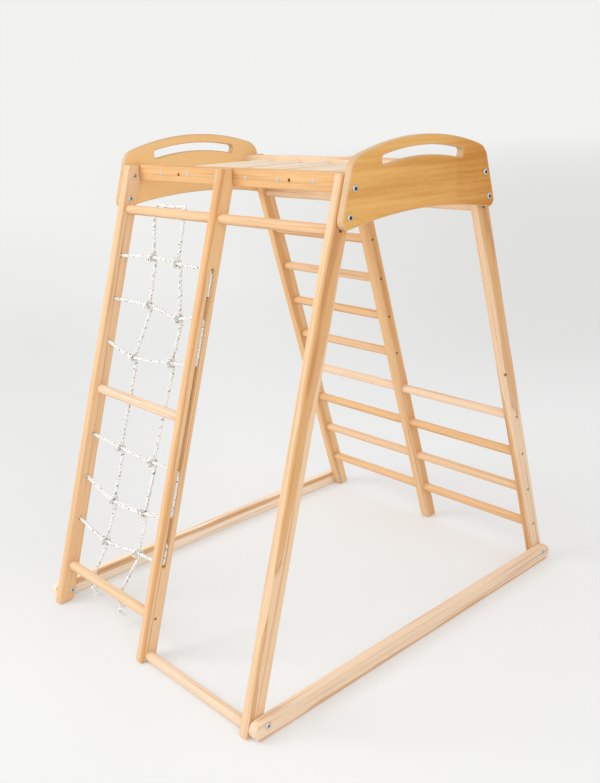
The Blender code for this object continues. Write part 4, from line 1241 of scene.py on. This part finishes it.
def socket_head(bm, radius, height, top_radius, shank):
    """A domed head round Z, its underside at zero, with a hexagonal socket and perhaps a shank."""
    sides = 24
    steps = 5
    under = ring(bm, radius, 0.0, sides)
    loops = [under]
    for step in range(1, steps + 1):
        angle = QUARTER * step / steps
        wide = top_radius + (radius - top_radius) * math.cos(angle)
        loops.append(ring(bm, wide, height * (HEAD_SKIRT + (1 - HEAD_SKIRT) * math.sin(angle)), sides))
    for deep in (0.0, SOCKET_DEPTH):
        hexagon = ring(bm, settings("fastener").hex_socket / 2, height * (1.0 - deep), 6)
        cut = bmesh.ops.subdivide_edges(bm, edges=hexagon, cuts=sides // 6 - 1)
        edges = [part for part in cut["geom"] if isinstance(part, bmesh.types.BMEdge)]
        loops.append(ring_edges([vert for edge in edges for vert in edge.verts]))
    bridge(bm, loops)
    bmesh.ops.contextual_create(bm, geom=loops[-1])
    below = [under] + [ring(bm, wide, -deep, sides) for deep, wide in shank]
    bridge(bm, below)
    bmesh.ops.contextual_create(bm, geom=below[-1])


def add_head(name, place, outward, sizes, material, shank=(), nodes=()):
    """One bolt, nut or screw whose head faces outward, with its crown in a second, darker steel if it has
    two, which paints the reflection ring on the head.
    """
    bm = bmesh.new()
    socket_head(bm, *sizes, shank)
    if isinstance(material, tuple):
        bm.normal_update()
        for face in bm.faces:
            centre = face.calc_center_median()
            level = centre.z > CROWN_LEVEL * sizes[1] and abs(face.normal.z) > CROWN_UPRIGHT
            face.material_index = int(level and SOCKET_MIDDLE < centre.xy.length < sizes[2] + CROWN_MARGIN)
    bm.transform(frame_along(place, outward))
    add_piece(name, bm, material, nodes)


class CLIMBING_FRAME_OT_bolts(bpy.types.Operator):
    """Fit the domed bolts and their sleeve nuts"""

    bl_idname = "climbing_frame.bolts"
    bl_label = "Bolts and sleeve nuts"

    def execute(self, context):
        look = settings("fastener")
        plate = zinc("zinc_plate")
        # Painted reflection: the crowns are darker copies of the steel, dark on the gable bolts and faint on
        # the ground bolts and nuts
        dark_reflection_crown = (plate, zinc("gable_bolt_crown_painted_reflection", 0.26, 0.35))
        faint_reflection_crown = (plate, zinc("ground_bolt_crown_faint_reflection", 0.95, 0.6))
        nut_steel_and_reflection = (plate, zinc("nut_crown_faint_reflection", 0.95, 0.6))
        bolt_sizes = (look.bolt_head / 2, look.bolt_head_height, look.bolt_head * BOLT_CROWN)
        nut_sizes = (look.nut_head / 2, look.nut_head_height, look.nut_head * NUT_CROWN)
        shank = BOLT_SHANK / 2
        barrel = BARREL_DIAMETER / 2
        sleeve = [(0.0, barrel), (BARREL_LENGTH, barrel), (BARREL_LENGTH, shank + GAP)]
        sleeve.append((BARREL_LENGTH - BOLT_IN_BARREL, shank + GAP))
        for prefix, places, board, bolt_steel_and_reflection in (
            ("gable", gable_bolt_places(), GABLE_THICKNESS, dark_reflection_crown),
            ("ground_rail", ground_bolt_places(), STOCK_THICKNESS, faint_reflection_crown),
        ):
            tip = board + STOCK_THICKNESS - BARREL_LENGTH + BOLT_IN_BARREL
            pin = [(0.0, shank), (tip, shank)]
            ends = [(side, place) for side in (LEFT, RIGHT) for place in places]
            for number, (side, place) in enumerate(ends, 1):
                node = f"{prefix}_bolt_{number}"
                outer = Vector((side * (OUTER_FACE + GAP + board + GAP), *place))
                add_head(node + "_steel", outer, (side, 0, 0), bolt_sizes, bolt_steel_and_reflection, pin, [node])
                node = f"{prefix}_nut_{number}"
                inner = Vector((side * (INNER_FACE - GAP), *place))
                add_head(node + "_steel", inner, (-side, 0, 0), nut_sizes, nut_steel_and_reflection, sleeve, [node])
        return {"FINISHED"}


class CLIMBING_FRAME_OT_screws(bpy.types.Operator):
    """Fit the sunk screws of the ladder rungs and the disc screws of the top rungs"""

    bl_idname = "climbing_frame.screws"
    bl_label = "Screws"

    def execute(self, context):
        look = settings("fastener")
        # Painted shade: the sunk screws' steel is made dark to stand in for the shade down in their sinks
        sunk = zinc("sunk_screw_shade_steel", 0.12, 0.45)
        bright = zinc("disc_screw_steel", 0.95, 0.6)
        half = STOCK_THICKNESS / 2
        small = (look.rung_screw_head / 2, RUNG_SCREW_HEIGHT, look.rung_screw_head * RUNG_SCREW_CROWN)
        number = 0
        for rung, facing, along, left, right, screwed in rung_plan():
            steel = bright if rung == "front_bottom_rung" else sunk
            for side in screwed:
                number += 1
                face = (left if side == LEFT else right) + side * half
                place = ladder_point(facing, face - side * (SCREW_SINK_DEPTH - SCREW_GAP), along)
                add_head(f"rung_screw_{number}", place, (side, 0, 0), small, steel)
        wide = (look.disc_screw_head / 2, DISC_SCREW_HEIGHT, look.disc_screw_head * DISC_SCREW_CROWN)
        ends = [(facing, x) for facing in (FRONT, REAR) for x in top_rung_places()]
        for number, (facing, x) in enumerate(ends, 1):
            place = Vector((x, facing * (RAIL_FACE + SCREW_GAP), RAIL_MIDDLE))
            add_head(f"top_rung_screw_{number}", place, (0, facing, 0), wide, bright)
        return {"FINISHED"}


# Stage


def add_lamp(name, place, target, size, power):
    """A soft square lamp that faces a target."""
    lamp = bpy.data.lights.new(name, "AREA")
    lamp.shape = "SQUARE"
    lamp.size = size
    lamp.energy = power
    lamp.color = LAMP_TINT
    placed(name, lamp).matrix_world = frame_along(place, Vector(place) - Vector(target))


class CLIMBING_FRAME_OT_stage(bpy.types.Operator):
    """Set the floor, the light and the camera"""

    bl_idname = "climbing_frame.stage"
    bl_label = "Stage"

    def execute(self, context):
        look = settings("stage")
        bm = bmesh.new()
        bmesh.ops.create_circle(bm, cap_ends=True, radius=FLOOR_RADIUS, segments=FLOOR_SIDES)
        bmesh.ops.translate(bm, verts=bm.verts, vec=(0, 0, -FLOOR_DROP))
        floor = placed("floor", mesh_of("floor", bm))
        floor.data.materials.append(self.floor_finish(look))
        self.light(look)
        self.camera(look)
        context.scene.view_settings.view_transform = "Standard"
        return {"FINISHED"}

    def floor_finish(self, look):
        """A matt pale floor that fades into the backdrop far from the frame, with painted shadow that darkens
        it at the left, and painted shade on the backdrop far off to the right.
        """
        material, tree, shader = new_material("floor_paint")
        place = object_place(tree)
        cloud = noise(tree, place, 1.3, 2.0)
        axes = split(tree, place)
        deep = calc(tree, "MULTIPLY_ADD", axes[1], VIEW_ACROSS, VIEW_DISTANCE)
        deep = calc(tree, "MULTIPLY_ADD", axes[0], -VIEW_AHEAD, deep)
        side = calc(tree, "MULTIPLY_ADD", axes[0], VIEW_ACROSS, calc(tree, "MULTIPLY", axes[1], VIEW_AHEAD))
        turned = calc(tree, "DIVIDE", side, calc(tree, "MAXIMUM", deep, 0.5))

        def overlap(*ranges):
            """Three smooth ramps multiplied, each a value, its two ends and perhaps the results there."""
            ramps = [ramp(tree, *bounds, ease="SMOOTHSTEP") for bounds in ranges]
            product = calc(tree, "MULTIPLY", *ramps[:2])
            return calc(tree, "MULTIPLY", product, ramps[2])

        near, far = (deep, 2.1, 3.0, 0.3, 1.0), (deep, 6.0, 14.0, 1.0, 0.0)
        # Painted shadow: the floor, and a little the backdrop, are darker towards the left
        left = overlap((turned, -0.30, -0.02, 1.0, 0.0), near, far)
        base = mix(tree, cloud, opaque(look.floor), opaque(look.floor, 0.985))
        base = mix(tree, left, base, opaque(look.floor, 0.89))
        fill(tree, shader, {"Base Color": base, "Roughness": 0.85, "Specular IOR Level": 0.1})
        fade = ramp(tree, measure(tree, "LENGTH", place), 1.0, 5.0, 0.3)
        # Painted shade: the backdrop darkens far off to the right
        backdrop_shade = overlap((deep, 3.2, 5.5), (deep, 8.0, 36.0, 1.0, 0.0), (turned, -0.25, 0.3))
        paint = mix(tree, backdrop_shade, opaque(look.backdrop), opaque(look.backdrop, 0.84))
        paint = mix(tree, left, paint, opaque(look.backdrop, 0.94))
        glow = add_node(tree, "Emission", {"Color": paint, "Strength": 1.0}).outputs[0]
        rays = add_node(tree, "LightPath").outputs
        seen = calc(tree, "MULTIPLY", fade, rays["Is Camera Ray"])
        mixed = add_node(tree, "MixShader", {0: seen, 1: shader.outputs[0], 2: glow})
        fill(tree, tree.nodes["Material Output"], {"Surface": mixed.outputs[0]})
        return material

    def light(self, look):
        """Even daylight, a large soft lamp at the front left and a weak one at the right."""
        world = bpy.data.worlds.new("daylight")
        world.use_nodes = True
        tree = world.node_tree
        tree.nodes.clear()
        rays = add_node(tree, "LightPath").outputs
        shown = calc(tree, "MAXIMUM", rays["Is Camera Ray"], rays["Is Glossy Ray"])
        shown = calc(tree, "MAXIMUM", shown, rays["Is Transmission Ray"])
        sky = add_node(tree, "Background", {"Color": (1.0, 1.0, 0.995, 1), "Strength": look.daylight})
        seen = add_node(tree, "Background", {"Color": opaque(look.backdrop), "Strength": 1.0})
        mixed = add_node(tree, "MixShader", {0: shown, 1: sky.outputs[0], 2: seen.outputs[0]})
        add_node(tree, "OutputWorld", {"Surface": mixed.outputs[0]})
        bpy.context.scene.world = world
        add_lamp("key_lamp", *KEY_LAMP, look.key_power)
        add_lamp("fill_lamp", *FILL_LAMP, look.fill_power)

    def camera(self, look):
        """The camera where the photograph was taken from."""
        turn, pitch, roll = (math.radians(angle) for angle in CAMERA_ANGLES)
        level = Vector((math.cos(turn), math.sin(turn), 0))
        flat = math.cos(pitch)
        forward = Vector((-math.sin(turn) * flat, math.cos(turn) * flat, -math.sin(pitch)))
        upright = level.cross(forward)
        right = level * math.cos(roll) + upright * math.sin(roll)
        up = upright * math.cos(roll) - level * math.sin(roll)
        data = bpy.data.cameras.new("camera")
        data.sensor_width = 36.0
        data.lens = look.focal_length
        data.shift_x, data.shift_y = CAMERA_SHIFT
        data.clip_end = 100.0
        camera = placed("camera", data)
        pose = Matrix((right, up, -forward)).transposed().to_4x4()
        camera.matrix_world = Matrix.Translation(CAMERA_PLACE) @ pose
        bpy.context.scene.camera = camera


class CLIMBING_FRAME_PT_panel(bpy.types.Panel):
    """The climbing frame's pieces and settings"""

    bl_idname = "CLIMBING_FRAME_PT_panel"
    bl_label = "Climbing Frame"
    bl_space_type = "VIEW_3D"
    bl_region_type = "UI"
    bl_category = "Climbing Frame"

    def draw(self, context):
        for operator in OPERATORS:
            self.layout.operator(operator.bl_idname)
        for name, group in SETTINGS.items():
            box = self.layout.box()
            box.label(text=name.title())
            for prop in group.__annotations__:
                box.prop(settings(name), prop)


SETTINGS = {
    "timber": TimberSettings,
    "gable": GableSettings,
    "rope": RopeSettings,
    "fastener": FastenerSettings,
    "stage": StageSettings,
}

OPERATORS = (
    CLIMBING_FRAME_OT_stage,
    CLIMBING_FRAME_OT_stopper_knots,
    CLIMBING_FRAME_OT_net,
    CLIMBING_FRAME_OT_stiles,
    CLIMBING_FRAME_OT_top_rails,
    CLIMBING_FRAME_OT_ladder_rungs,
    CLIMBING_FRAME_OT_top_rungs,
    CLIMBING_FRAME_OT_gables,
    CLIMBING_FRAME_OT_ground_rails,
    CLIMBING_FRAME_OT_bolts,
    CLIMBING_FRAME_OT_screws,
)


def register():
    """Add the classes, and each group of settings to the scene."""
    for made in (*SETTINGS.values(), *OPERATORS, CLIMBING_FRAME_PT_panel):
        bpy.utils.register_class(made)
    for name, group in SETTINGS.items():
        setattr(bpy.types.Scene, "climbing_frame_" + name, PointerProperty(type=group))


def unregister():
    """Take the settings and the classes away again."""
    for name in SETTINGS:
        delattr(bpy.types.Scene, "climbing_frame_" + name)
    for made in reversed((*SETTINGS.values(), *OPERATORS, CLIMBING_FRAME_PT_panel)):
        bpy.utils.unregister_class(made)


def main():
    """Make every piece in turn."""
    register()
    for operator in OPERATORS:
        group, name = operator.bl_idname.split(".")
        getattr(getattr(bpy.ops, group), name)()
    bpy.context.view_layer.update()


if __name__ == "__main__":
    main()
